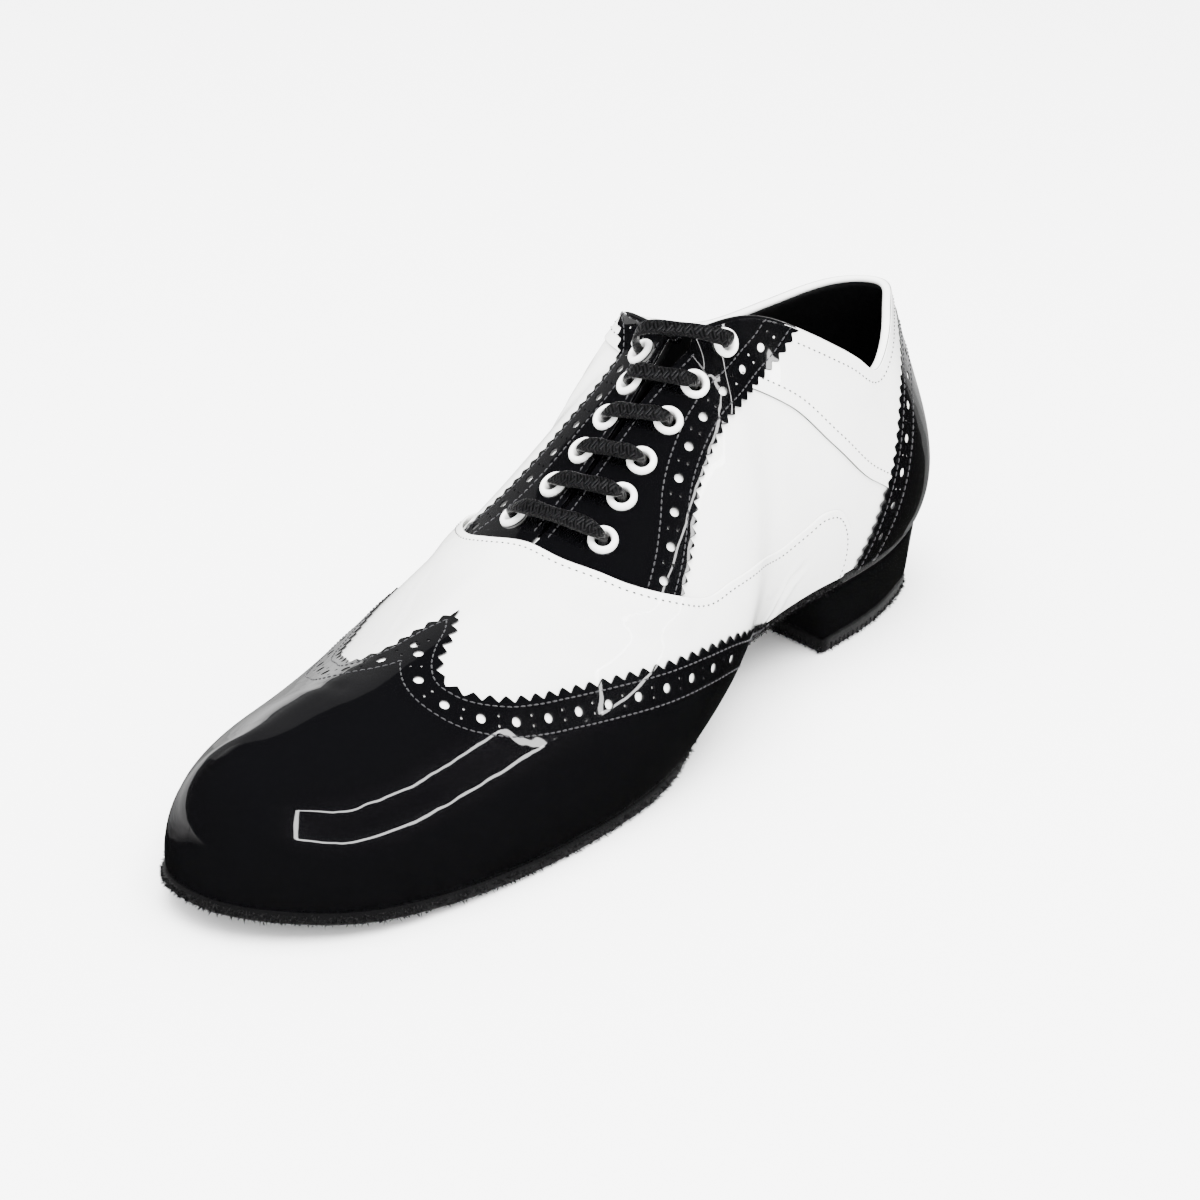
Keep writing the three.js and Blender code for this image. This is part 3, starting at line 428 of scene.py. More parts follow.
def distance_to_line(points, line):
    """Least distance from each point to a line of points, and how far along it that is, 0 to 1."""
    line = np.asarray(line, float)
    starts = line[:-1]
    spans = line[1:] - starts
    lengths = np.linalg.norm(spans, axis=1)
    share = np.einsum("nmk,mk->nm", points[:, None] - starts[None], spans) / lengths**2
    share = np.clip(share, 0, 1)
    near = starts[None] + share[..., None] * spans[None]
    gaps = np.linalg.norm(points[:, None] - near, axis=2)
    best = gaps.argmin(1)
    rows = np.arange(len(points))
    before = np.concatenate([[0], np.cumsum(lengths)[:-1]])
    along = (before[best] + share[rows, best] * lengths[best]) / lengths.sum()
    return gaps[rows, best], along


def soft_folds(points):
    depth = np.zeros(len(points))
    for fall, width, line in FOLDS:
        gap, along = distance_to_line(points, line)
        fade = smoothstep(along / 0.3) * smoothstep((1 - along) / 0.3)
        ridge = 0.45 * np.exp(-(((gap - 2.1 * width) / width) ** 2))
        depth += fall * fade * (ridge - np.exp(-((gap / width) ** 2)))
    return depth


def on_skin(place, v, offset):
    """Points at a height above the skin, a number or a function of the point, and their normals."""
    base = skin(place, v)
    normal = skin_normal(place, v)

    def height(points):
        return (offset(points) if callable(offset) else offset) + soft_folds(points)

    points = base + normal * height(base)[:, None]
    step = 0.1
    slope = np.stack([
        (height(base + step * axis) - height(base - step * axis)) / (2 * step)
        for axis in np.eye(3)
    ], -1)
    slope -= normal * (slope * normal).sum(1)[:, None]
    return points, unit(normal - slope)


COARSE_PLACE, COARSE_V = (grid.ravel() for grid in np.meshgrid(
    np.arange(0, ROUND, 0.25), np.linspace(0, 1, 33), indexing="ij"))
COARSE_SKIN = skin(COARSE_PLACE, COARSE_V)


def nearest_places(targets, axes, chosen):
    """First guess for each target: the nearest of the chosen coarse points, on the given axes."""
    numbers = np.flatnonzero(chosen)
    tree = KDTree(len(numbers))
    for number in numbers:
        tree.insert([*COARSE_SKIN[number][axes], 0][:3], number)
    tree.balance()
    found = np.array([tree.find([*target, 0][:3])[1] for target in targets])
    return COARSE_PLACE[found].copy(), COARSE_V[found].copy()


SETTLE_TURNS = 14


def settle(targets, axes, place, v):
    """Moves places on the skin until they match the targets on the given axes."""
    step = 0.004
    for _ in range(SETTLE_TURNS):
        here = skin(place, v)[:, axes]
        ahead = (skin(place + step, v) - skin(place - step, v))[:, axes] / (2 * step)
        above = np.minimum(v + step, 1)
        below = np.maximum(v - step, 0)
        up = (skin(place, above) - skin(place, below))[:, axes] / (above - below)[:, None]
        miss = targets - here
        aa = (ahead * ahead).sum(1)
        bb = (up * up).sum(1)
        ab = (ahead * up).sum(1)
        area = np.maximum(aa * bb - ab * ab, 1e-9)
        da = (ahead * miss).sum(1)
        db = (up * miss).sum(1)
        place = place + np.clip((da * bb - db * ab) / area, -0.4, 0.4)
        v = np.clip(v + np.clip((db * aa - da * ab) / area, -0.1, 0.1), 0, 1)
    return place % ROUND, v


def locate(points):
    """Places of the skin under points near it."""
    points = np.asarray(points, float)
    axes = [0, 1, 2]
    place, v = settle(points, axes, *nearest_places(points, axes, COARSE_V >= 0))
    edge = (v > 0.9999) & (row_from_tip(place) < CREST_END)
    if edge.any():
        other, height = settle(points[edge], axes, ROUND - place[edge], v[edge] - 0.01)
        own_miss = np.linalg.norm(skin(place[edge], v[edge]) - points[edge], axis=1)
        miss = np.linalg.norm(skin(other, height) - points[edge], axis=1)
        place[edge] = np.where(miss < own_miss, other, place[edge])
        v[edge] = np.where(miss < own_miss, height, v[edge])
    return place, v


def from_above(points):
    """Skin points over x, y."""
    points = np.asarray(points, float)
    place, v = nearest_places(points, [0, 1], COARSE_V > 0.45)
    return skin(*settle(points, [0, 1], place, v))


def from_plan(rows):
    """Skin points over along, out."""
    return from_above([(out * HALF_BALL, y_at(along)) for along, out in rows])


def from_side(rows, side):
    """Skin points at along, height, seen from one side, -1 outer or 1 inner."""
    y = y_at([row[0] for row in rows])
    targets = np.stack([y, feather_height(y) + np.array([row[1] for row in rows]) * INSTEP_HEIGHT], -1)
    chosen = (COARSE_PLACE <= LAST_ROW) if side < 0 else (COARSE_PLACE >= LAST_ROW)
    place, v = nearest_places(targets, [1, 2], chosen)
    return skin(*settle(targets, [1, 2], place, v))


def through(values, chords, fine):
    """Values on a smooth path through knots some chords apart, at given lengths along it."""
    spans = chords[:, None]
    steps = np.diff(values, axis=0) / spans
    slopes = np.empty_like(values)
    slopes[0] = steps[0]
    slopes[-1] = steps[-1]
    slopes[1:-1] = (steps[:-1] * spans[1:] + steps[1:] * spans[:-1]) / (spans[:-1] + spans[1:])
    at = np.concatenate([[0], np.cumsum(chords)])
    number = np.clip(np.searchsorted(at, fine, side="right") - 1, 0, len(chords) - 1)
    h = spans[number]
    t = (fine - at[number])[:, None] / h
    return (
        (2 * t**3 - 3 * t**2 + 1) * values[number] + (t**3 - 2 * t**2 + t) * h * slopes[number]
        + (3 * t**2 - 2 * t**3) * values[number + 1] + (t**3 - t**2) * h * slopes[number + 1])


def smooth_path(points, gap):
    """A smooth path through points, resampled at about one gap."""
    points = np.asarray(points, float)
    chords = np.linalg.norm(np.diff(points, axis=0), axis=1)
    length = np.cumsum(chords)[-1]
    fine = np.linspace(0, length, max(8, int(length / gap) * 4))
    return even(through(points, chords, fine), gap)


def even(path, gap, whole=True):
    """Points of a path at equal steps: a whole number of steps, or steps of just one gap."""
    at = np.concatenate([[0], np.cumsum(np.linalg.norm(np.diff(path, axis=0), axis=1))])
    if whole:
        stops = np.linspace(0, at[-1], max(2, round(at[-1] / gap) + 1))
    else:
        spare = at[-1] % gap
        stops = np.arange(spare / 2, at[-1], gap)
    return np.stack([np.interp(stops, at, path[:, axis]) for axis in range(3)], -1)


FINE = 0.3


def stretch(points, inwards):
    """A stretch of edge laid on the skin: its points and the way into the piece. inwards is 1 or -1."""
    path = smooth_path(points, FINE)
    place, v = locate(path)
    path = skin(place, v)
    run = unit(np.gradient(path, axis=0))
    into = unit(np.cross(skin_normal(place, v), run)) * inwards
    return {"points": path, "into": into}


def toothed(edge, pitch, depth):
    """Outline points of a pinked edge whose tooth tips lie on the stretch."""
    path = edge["points"]
    at = np.concatenate([[0], np.cumsum(np.linalg.norm(np.diff(path, axis=0), axis=1))])
    teeth = max(1, round(at[-1] / pitch))
    stops = np.linspace(0, at[-1], teeth * 8 + 1)
    place = np.stack([np.interp(stops, at, path[:, axis]) for axis in range(3)], -1)
    into = np.stack([np.interp(stops, at, edge["into"][:, axis]) for axis in range(3)], -1)
    phase = np.arange(len(stops)) % 8 / 8
    notch = 1 - np.abs(2 * phase - 1)
    rounded = 0.5 - 0.5 * np.cos(2 * np.pi * phase)
    return place + into * (depth * (0.6 * notch + 0.4 * rounded))[:, None]


def inner_lines(stretches, distance):
    """Lines at a distance inside an edge, cut where another part of the edge comes nearer."""
    edge = np.concatenate([part["points"] for part in stretches])
    tree = KDTree(len(edge))
    for number, point in enumerate(edge):
        tree.insert(point, number)
    tree.balance()
    lines = []
    for part in stretches:
        line = part["points"] + part["into"] * distance
        clear = np.array([tree.find(point)[2] > distance - 0.2 for point in line])
        starts = np.flatnonzero(np.diff(np.concatenate([[0], clear.astype(int), [0]])))
        for start, end in zip(starts[::2], starts[1::2]):
            if end - start > 8:
                lines.append(line[start:end])
    joined = [lines[0]]
    for line in lines[1:]:
        if np.linalg.norm(joined[-1][-1] - line[0]) < 2.5:
            joined[-1] = np.concatenate([joined[-1], line])
        else:
            joined.append(line)
    return joined


def disc(centre, radius, sides):
    """A circle on the skin about a point near it, as places."""
    place, v = locate(np.array([centre]))
    normal = skin_normal(place, v)[0]
    across = unit(np.cross(normal, [0.3, 0.9, 0.1]))
    other = np.cross(normal, across)
    turn = np.linspace(0, 2 * np.pi, sides, endpoint=False)
    ring = skin(place, v)[0] + radius * (np.cos(turn)[:, None] * across + np.sin(turn)[:, None] * other)
    return locate(ring)


# The skin is laid flat for cutting in one of two ways: the forepart from one feather line over the
# crest to the other, or the back from the feather line to the top, round the heel
FLAT_ROW = 14.0
FLAT_HEIGHT = 80.0


def flatten(place, v, forepart):
    if forepart:
        inner = place > LAST_ROW
        return np.stack([row_from_tip(place) * FLAT_ROW, np.where(inner, 2 - v, v) * FLAT_HEIGHT], -1)
    return np.stack([place * FLAT_ROW, v * FLAT_HEIGHT], -1)


def unflatten(flat, forepart):
    row = flat[:, 0] / FLAT_ROW
    v = flat[:, 1] / FLAT_HEIGHT
    if forepart:
        return np.where(v > 1, ROUND - row, row), np.clip(np.where(v > 1, 2 - v, v), 0, 1)
    return row, np.clip(v, 0, 1)


def inside(points, loops):
    """Whether flat points are inside the first loop and outside the others."""
    starts = np.concatenate(loops)
    ends = np.concatenate([np.roll(loop, -1, axis=0) for loop in loops])
    result = np.zeros(len(points), bool)
    for first in range(0, len(points), 1500):
        part = points[first:first + 1500]
        x = part[:, 0][:, None]
        y = part[:, 1][:, None]
        crosses = (starts[:, 1] > y) != (ends[:, 1] > y)
        with np.errstate(divide="ignore", invalid="ignore"):
            share = (y - starts[:, 1]) / (ends[:, 1] - starts[:, 1])
            at = starts[:, 0] + share * (ends[:, 0] - starts[:, 0])
        result[first:first + 1500] = (crosses & (x < at)).sum(1) % 2 == 1
    return result


def filling(loops, forepart, spacing):
    """Flat points inside the loops that lie about one spacing apart on the shoe."""
    low = loops[0].min(0)
    high = loops[0].max(0)
    row_step = 1 / 16
    v_step = 1 / 96
    rows = np.arange(math.floor(low[0] / FLAT_ROW / row_step), high[0] / FLAT_ROW / row_step + 1)
    heights = np.arange(math.floor(low[1] / FLAT_HEIGHT / v_step), high[1] / FLAT_HEIGHT / v_step + 1)
    i, j = (grid.ravel() for grid in np.meshgrid(rows, heights, indexing="ij"))
    flat = np.stack([i * row_step * FLAT_ROW, j * v_step * FLAT_HEIGHT], -1)
    place, v = unflatten(flat, forepart)
    ahead = np.linalg.norm(skin(place + row_step, v) - skin(place, v), axis=1)
    up = np.linalg.norm(skin(place, np.minimum(v + v_step, 1)) - skin(place, v), axis=1)
    up = np.where(v + v_step > 1, 0.6, up)
    skip_rows = 2 ** np.clip(np.round(np.log2(spacing / np.maximum(ahead, 0.02))), 0, 6)
    skip_heights = 2 ** np.clip(np.round(np.log2(spacing / np.maximum(up, 0.02))), 0, 4)
    kept = (i % skip_rows == 0) & (j % skip_heights == 0)
    flat = flat[kept]
    flat = flat[inside(flat, loops)]
    border = skin(*unflatten(np.concatenate(loops), forepart))
    tree = KDTree(len(border))
    for number, point in enumerate(border):
        tree.insert(point, number)
    tree.balance()
    points = skin(*unflatten(flat, forepart))
    clear = np.array([tree.find(point)[2] > 0.62 for point in points], bool)
    return flat[clear]


def cut_sheet(outline, holes, forepart, spacing=1.9):
    """A piece of the skin as triangles, cut to an outline and punched. No bmesh operator cuts such
    a pinked and punched outline on a doubly curved form, so the skin is laid flat and triangulated."""
    loops = [flatten(*loop, forepart) for loop in (outline, *holes)]
    loops = [loop[np.linalg.norm(loop - np.roll(loop, 1, axis=0), axis=1) > 1e-4] for loop in loops]
    edges = []
    first = 0
    for loop in loops:
        count = len(loop)
        edges += [(first + number, first + (number + 1) % count) for number in range(count)]
        first += count
    flat = np.concatenate([*loops, filling(loops, forepart, spacing)])
    found = delaunay_2d_cdt([Vector(point) for point in flat], edges, [], 0, 1e-5, True)
    corners = np.array([flat[ids[0]] if ids else corner for corner, ids in zip(found[0], found[3])])
    faces = np.array([face for face in found[2] if len(face) == 3])
    faces = faces[inside(corners[faces].mean(1), loops)]
    place, v = unflatten(corners, forepart)
    points = skin(place, v)
    _, kept, home = np.unique(np.round(points, 3), axis=0, return_index=True, return_inverse=True)
    faces = home.ravel()[faces]
    place = place[kept]
    v = v[kept]
    points = points[kept]
    whole = (faces[:, 0] != faces[:, 1]) & (faces[:, 1] != faces[:, 2]) & (faces[:, 0] != faces[:, 2])
    faces = faces[whole]
    a, b, c = (points[faces[:, corner]] for corner in range(3))
    facing = (np.cross(b - a, c - a) * skin_normal(place, v)[faces[:, 0]]).sum(1)
    faces[facing < 0] = faces[facing < 0][:, ::-1]
    return unfolded(place, v, faces)


def unfolded(place, v, faces):
    """The sheet without pairs of triangles that share all three corners, where it folds shut on the
    toe's middle line, and without unused points."""
    _, which, count = np.unique(np.sort(faces, axis=1), axis=0, return_inverse=True, return_counts=True)
    faces = faces[count[which.ravel()] == 1]
    used = np.unique(faces)
    number = np.zeros(len(place), int)
    number[used] = np.arange(len(used))
    return place[used], v[used], number[faces]


def add_piece(context, mesh, name, materials, replaced=()):
    """Puts a finished mesh in the scene as a piece that rides on the shoe's one body."""
    for material in materials:
        mesh.materials.append(material)
    mesh.polygons.foreach_set("use_smooth", [True] * len(mesh.polygons))
    piece = bpy.data.objects.new(name, mesh)
    context.scene.collection.objects.link(piece)
    if replaced:
        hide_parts(*replaced)
    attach(piece, "root")
    return piece


def to_mesh(bm, name):
    mesh = bpy.data.meshes.new(name)
    bm.to_mesh(mesh)
    bm.free()
    return mesh


def add_panel(context, name, sheet, low, high, lip, materials, replaced=()):
    """A sheet of leather on the skin, between two heights above it, with a rounded edge."""
    place, v, faces = sheet
    top, shade = on_skin(place, v, high)
    bottom, _ = on_skin(place, v, low)
    normal = skin_normal(place, v)
    bm = bmesh.new()
    home = bm.verts.layers.int.new("home")
    corners = []
    for number, point in enumerate(top):
        corner = bm.verts.new(point * MM)
        corner[home] = number
        corners.append(corner)
    upper = [bm.faces.new([corners[number] for number in face]) for face in faces]
    rim = [edge for edge in bm.edges if edge.is_boundary]
    aside = np.zeros((len(place), 3))
    for edge in rim:
        loop = edge.link_loops[0]
        start = loop.vert[home]
        end = loop.link_loop_next.vert[home]
        out = unit(np.cross(unit(top[end] - top[start]), normal[start]))
        aside[start] += out
        aside[end] += out
    aside = unit(aside)
    for out, down in ((0.35, 0.07), (0.75, 0.33)):
        rim = grow_rim(bm, rim, home, top + (aside * out - normal * down) * lip)
    shown = set(bm.faces)
    rim = grow_rim(bm, rim, home, top + (aside - normal) * lip)
    rim = grow_rim(bm, rim, home, bottom + aside * lip)
    last = {corner[home]: corner for edge in rim for corner in edge.verts}
    for number, point in enumerate(bottom):
        if number not in last:
            corner = bm.verts.new(point * MM)
            corner[home] = number
            last[number] = corner
    for face in faces:
        bm.faces.new([last[number] for number in face[::-1]])
    # Faces below the lip's upper part take the last material: the lining on the shell, and on the collar a
    # painted shadow line under its fold.
    for face in bm.faces:
        if face not in shown:
            face.material_index = len(materials) - 1
    bm.verts.index_update()
    shading = {corner.index: shade[corner[home]] for face in upper for corner in face.verts}
    mesh = to_mesh(bm, name)
    add_piece(context, mesh, name, materials, replaced)
    own = [tuple(normal.vector) for normal in mesh.vertex_normals]
    mesh.normals_split_custom_set_from_vertices([shading.get(*pair) for pair in enumerate(own)])


def grow_rim(bm, rim, home, places):
    """Extrudes border edges and puts each new corner at its own place. Returns the new border."""
    made = bmesh.ops.extrude_edge_only(bm, edges=rim)["geom"]
    for corner in made:
        if isinstance(corner, bmesh.types.BMVert):
            corner.co = Vector(places[corner[home]]) * MM
    return [edge for edge in made if isinstance(edge, bmesh.types.BMEdge) and edge.is_boundary]


def grid_mesh(name, points, tube=False, uv=None):
    """A grid shaped to an array of points, rows by columns. A tube's columns close on themselves."""
    rows, columns = points.shape[:2]
    bm = bmesh.new()
    bmesh.ops.create_grid(bm, x_segments=columns - 1, y_segments=rows - 1, size=1)
    bm.verts.index_update()
    flat = points.reshape(-1, 3)
    if uv is not None:
        layer = bm.loops.layers.uv.new("lengthwise")
        for face in bm.faces:
            for loop in face.loops:
                loop[layer].uv = uv[loop.vert.index // columns][loop.vert.index % columns]
    for corner in bm.verts:
        corner.co = Vector(flat[corner.index]) * MM
    if tube:
        bmesh.ops.remove_doubles(bm, verts=bm.verts, dist=1e-7)
        open_edges = [edge for edge in bm.edges if edge.is_boundary]
        bmesh.ops.holes_fill(bm, edges=open_edges, sides=0)
    bmesh.ops.recalc_face_normals(bm, faces=bm.faces)
    return to_mesh(bm, name)


def add_threads(context, name, runs, material, length, sizes):
    """Short threads at seats with normals, each dipping into the leather at its ends."""
    template = bmesh.new()
    bmesh.ops.create_uvsphere(template, u_segments=6, v_segments=5, radius=1)
    bmesh.ops.rotate(template, verts=template.verts, matrix=Matrix.Rotation(math.pi / 2, 3, "Y"))
    template.verts.index_update()
    shape = np.array([corner.co[:] for corner in template.verts])
    faces = [[corner.index for corner in face.verts] for face in template.faces]
    template.free()
    length = length / MM / 2
    width = sizes.thread_width / MM / 2
    shape = shape * (length, width, width * 0.85)
    shape[:, 2] -= 0.12 * (shape[:, 0] / length) ** 2
    corners = []
    polygons = []
    for seats, normal in runs:
        run = np.gradient(seats, axis=0)
        run = unit(run - normal * (run * normal).sum(1)[:, None])
        across = np.cross(normal, run)
        for seat, ahead, side, up in zip(seats, run, across, normal):
            first = len(corners) * len(shape)
            corners.append(seat + up * width * 0.35 + shape @ np.array([ahead, side, up]))
            polygons += [[first + number for number in face] for face in faces]
    mesh = bpy.data.meshes.new(name)
    mesh.from_pydata((np.concatenate(corners) * MM).tolist(), [], polygons)
    return add_piece(context, mesh, name, [material])


def add_stitches(context, name, lines, material, length, sizes, offset):
    """Rows of stitches along lines on the skin, at a height above it."""
    runs = []
    for line in lines:
        points = even(line, sizes.stitch_pitch / MM, whole=False)
        if len(points) > 2:
            runs.append(on_skin(*locate(points), offset))
    return add_threads(context, name, runs, material, length, sizes)


def linear(code):
    """An sRGB hex colour as linear RGBA."""
    parts = [int(code[place:place + 2], 16) / 255 for place in (1, 3, 5)]
    return (*[part / 12.92 if part <= 0.04045 else ((part + 0.055) / 1.055) ** 2.4 for part in parts], 1.0)


def live(sockets, name):
    """The socket of a name that is in use: some nodes have several of one name, for numbers or colours."""
    return next(socket for socket in sockets if socket.name == name and socket.enabled)


def add_node(tree, kind, links=None, **settings):
    """Adds a node. Settings are its properties or inputs; links maps an input to an output socket."""
    node = tree.nodes.new(kind)
    for key, value in settings.items():
        if hasattr(node, key):
            setattr(node, key, value)
    for key, value in settings.items():
        if not hasattr(node, key):
            live(node.inputs, key.replace("_", " ")).default_value = value
    for key, source in (links or {}).items():
        tree.links.new(source, live(node.inputs, key))
    return node


def darker(colour, share):
    return (*[part * share for part in colour[:3]], 1.0)


def new_material(name):
    material = bpy.data.materials.new(name)
    material.use_nodes = True
    tree = material.node_tree
    tree.nodes.clear()
    return material, tree


def patent_leather(name, colour, roughness, wave_height):
    """Split leather under a poured polyurethane film: a glassy coat over a soft, slightly uneven base,
    with a faint pull of the grain underneath."""
    material, tree = new_material(name)
    where = add_node(tree, "ShaderNodeTexCoord").outputs["Object"]
    # The film settles in swells of about 9 mm with a faint pebble of about 1.2 mm on them
    swell = add_node(tree, "ShaderNodeTexNoise", {"Vector": where}, Scale=110.0, Detail=1.0, Roughness=0.4)
    pebble = add_node(tree, "ShaderNodeTexNoise", {"Vector": where}, Scale=800.0, Detail=2.0, Roughness=0.5)
    low = add_node(
        tree, "ShaderNodeBump", {"Height": swell.outputs["Fac"]}, Strength=1.0, Distance=wave_height)
    fine = add_node(
        tree, "ShaderNodeBump", {"Height": pebble.outputs["Fac"], "Normal": low.outputs["Normal"]},
        Strength=1.0, Distance=wave_height * 0.03)
    haze = add_node(
        tree, "ShaderNodeMapRange", {"Value": swell.outputs["Fac"]}, From_Min=0.3, From_Max=0.7,
        To_Min=roughness * 0.8, To_Max=roughness * 1.25)
    tone = add_node(
        tree, "ShaderNodeMix", {"Factor": swell.outputs["Fac"]}, data_type="RGBA", A=colour,
        B=darker(colour, 0.93))
    shader = add_node(
        tree, "ShaderNodeBsdfPrincipled",
        {
            "Base Color": live(tone.outputs, "Result"),
            "Roughness": haze.outputs["Result"],
            "Normal": fine.outputs["Normal"],
            "Coat Normal": low.outputs["Normal"],
        },
        IOR=1.5, Specular_IOR_Level=0.03, Coat_Weight=1.0, Coat_Roughness=0.025, Coat_IOR=1.55)
    add_node(tree, "ShaderNodeOutputMaterial", {"Surface": shader.outputs["BSDF"]})
    return material


def soft_leather(name, colour, grain, roughness):
    """Aniline-dyed lining leather: matt, with pores of about half a millimetre."""
    material, tree = new_material(name)
    where = add_node(tree, "ShaderNodeTexCoord").outputs["Object"]
    pores = add_node(tree, "ShaderNodeTexVoronoi", {"Vector": where}, Scale=1 / grain)
    cloud = add_node(tree, "ShaderNodeTexNoise", {"Vector": where}, Scale=90.0, Detail=3.0)
    bump = add_node(
        tree, "ShaderNodeBump", {"Height": pores.outputs["Distance"]}, Strength=0.5, Distance=0.0001)
    tone = add_node(
        tree, "ShaderNodeMix", {"Factor": cloud.outputs["Fac"]}, data_type="RGBA", A=colour,
        B=darker(colour, 0.7))
    shader = add_node(
        tree, "ShaderNodeBsdfPrincipled",
        {"Base Color": live(tone.outputs, "Result"), "Normal": bump.outputs["Normal"]},
        Roughness=roughness, IOR=1.45)
    add_node(tree, "ShaderNodeOutputMaterial", {"Surface": shader.outputs["BSDF"]})
    return material


def suede(name, colour):
    """Chrome-tanned split, buffed to a nap: dull, with a soft sheen and brushed, darker patches."""
    material, tree = new_material(name)
    where = add_node(tree, "ShaderNodeTexCoord").outputs["Object"]
    nap = add_node(tree, "ShaderNodeTexNoise", {"Vector": where}, Scale=1500.0, Detail=3.0, Roughness=0.7)
    brushed = add_node(tree, "ShaderNodeTexNoise", {"Vector": where}, Scale=60.0, Detail=2.0)
    bump = add_node(tree, "ShaderNodeBump", {"Height": nap.outputs["Fac"]}, Strength=0.9, Distance=0.0004)
    tone = add_node(
        tree, "ShaderNodeMix", {"Factor": brushed.outputs["Fac"]}, data_type="RGBA", A=colour,
        B=darker(colour, 0.55))
    shader = add_node(
        tree, "ShaderNodeBsdfPrincipled",
        {"Base Color": live(tone.outputs, "Result"), "Normal": bump.outputs["Normal"]},
        Roughness=0.95, Sheen_Weight=0.08, Sheen_Roughness=0.4, Specular_IOR_Level=0.15)
    add_node(tree, "ShaderNodeOutputMaterial", {"Surface": shader.outputs["BSDF"]})
    return material


def braided_polyester(name, colour, strand):
    """Flat tubular braid of spun polyester: strands cross at a slant, each about half a millimetre, with painted
    shade in the grooves between them.
    """
    material, tree = new_material(name)
    where = add_node(tree, "ShaderNodeUVMap", uv_map="lengthwise").outputs["UV"]
    heights = []
    for slant in (1, -1):
        turned = add_node(tree, "ShaderNodeMapping", {"Vector": where})
        turned.inputs["Rotation"].default_value = (0, 0, slant * math.radians(38))
        wave = add_node(
            tree, "ShaderNodeTexWave", {"Vector": turned.outputs["Vector"]}, bands_direction="X",
            wave_profile="SIN", Scale=0.314 / strand, Distortion=0.6)
        heights.append(wave.outputs["Fac"])
    checks = add_node(tree, "ShaderNodeTexChecker", {"Vector": turned.outputs["Vector"]}, Scale=0.5 / strand)
    weave = add_node(
        tree, "ShaderNodeMix", {"Factor": checks.outputs["Fac"], "A": heights[0], "B": heights[1]},
        data_type="FLOAT")
    height = live(weave.outputs, "Result")
    bump = add_node(tree, "ShaderNodeBump", {"Height": height}, Strength=1.0, Distance=0.0003)
    # Painted shade: the grooves between the strands are coloured far darker than their crests.
    tone = add_node(
        tree, "ShaderNodeMix", {"Factor": height}, data_type="RGBA", A=darker(colour, 0.12), B=colour)
    shader = add_node(
        tree, "ShaderNodeBsdfPrincipled",
        {"Base Color": live(tone.outputs, "Result"), "Normal": bump.outputs["Normal"]},
        Roughness=0.36)
    add_node(tree, "ShaderNodeOutputMaterial", {"Surface": shader.outputs["BSDF"]})
    return material


def enamelled_metal(name, colour):
    """Stove-enamelled brass: an even, slightly soft gloss."""
    material, tree = new_material(name)
    where = add_node(tree, "ShaderNodeTexCoord").outputs["Object"]
    cast = add_node(tree, "ShaderNodeTexNoise", {"Vector": where}, Scale=700.0, Detail=2.0)
    bump = add_node(tree, "ShaderNodeBump", {"Height": cast.outputs["Fac"]}, Strength=0.4, Distance=0.00005)
    gloss = add_node(
        tree, "ShaderNodeMapRange", {"Value": cast.outputs["Fac"]}, To_Min=0.22, To_Max=0.34)
    shader = add_node(
        tree, "ShaderNodeBsdfPrincipled",
        {"Roughness": gloss.outputs["Result"], "Normal": bump.outputs["Normal"]},
        Base_Color=colour, IOR=1.5, Coat_Weight=0.4, Coat_Roughness=0.1)
    add_node(tree, "ShaderNodeOutputMaterial", {"Surface": shader.outputs["BSDF"]})
    return material


def bonded_thread(name, colour, roughness):
    """Bonded polyester sewing thread: twisted strands under a thin, slightly shiny bond."""
    material, tree = new_material(name)
    where = add_node(tree, "ShaderNodeTexCoord").outputs["Object"]
    twist = add_node(tree, "ShaderNodeTexWave", {"Vector": where}, Scale=900.0, Distortion=2.0)
    bump = add_node(tree, "ShaderNodeBump", {"Height": twist.outputs["Fac"]}, Strength=0.6, Distance=0.00006)
    shader = add_node(
        tree, "ShaderNodeBsdfPrincipled", {"Normal": bump.outputs["Normal"]},
        Base_Color=colour, Roughness=roughness, Sheen_Weight=0.1)
    add_node(tree, "ShaderNodeOutputMaterial", {"Surface": shader.outputs["BSDF"]})
    return material


MATERIALS = {}


def finishes(context):
    """All materials, made once from the colours in the panel."""
    if MATERIALS:
        return MATERIALS
    colours = context.scene.shoe_colours
    white = (*colours.white_patent, 1.0)
    black = (*colours.black_patent, 1.0)
    MATERIALS.update({
        "white": patent_leather("white_patent_leather", white, 0.3, 0.00006),
        "black": patent_leather("black_patent_leather", black, 0.25, 0.00012),
        "lining": soft_leather("black_lining_leather", (*colours.lining, 1.0), 0.0006, 0.6),
        "tongue": soft_leather("black_tongue_leather", (*colours.lining, 1.0), 0.0012, 0.3),
        "sock": soft_leather("black_sock_leather", (*colours.lining, 1.0), 0.0008, 0.7),
        "lace": braided_polyester("black_braided_polyester", (*colours.lace, 1.0), 0.0008),
        "enamel": enamelled_metal("white_enamelled_brass", (*colours.enamel, 1.0)),
        "suede": suede("black_buffed_suede", (*colours.suede, 1.0)),
        # Painted highlight: the black thread is coloured grey so its stitches read as glints on the black
        # leather.
        "dark_thread_painted_glint": bonded_thread("bonded_thread_painted_glint", linear("#2e2e30"), 0.3),
        # Painted shade: the thread on the white leather is coloured near black for the shade in its sunken
        # stitch holes.
        "sunk_stitch_painted_shade": bonded_thread("bonded_thread_painted_hole_shade", linear("#1e1e1e"), 0.6),
    })
    return MATERIALS


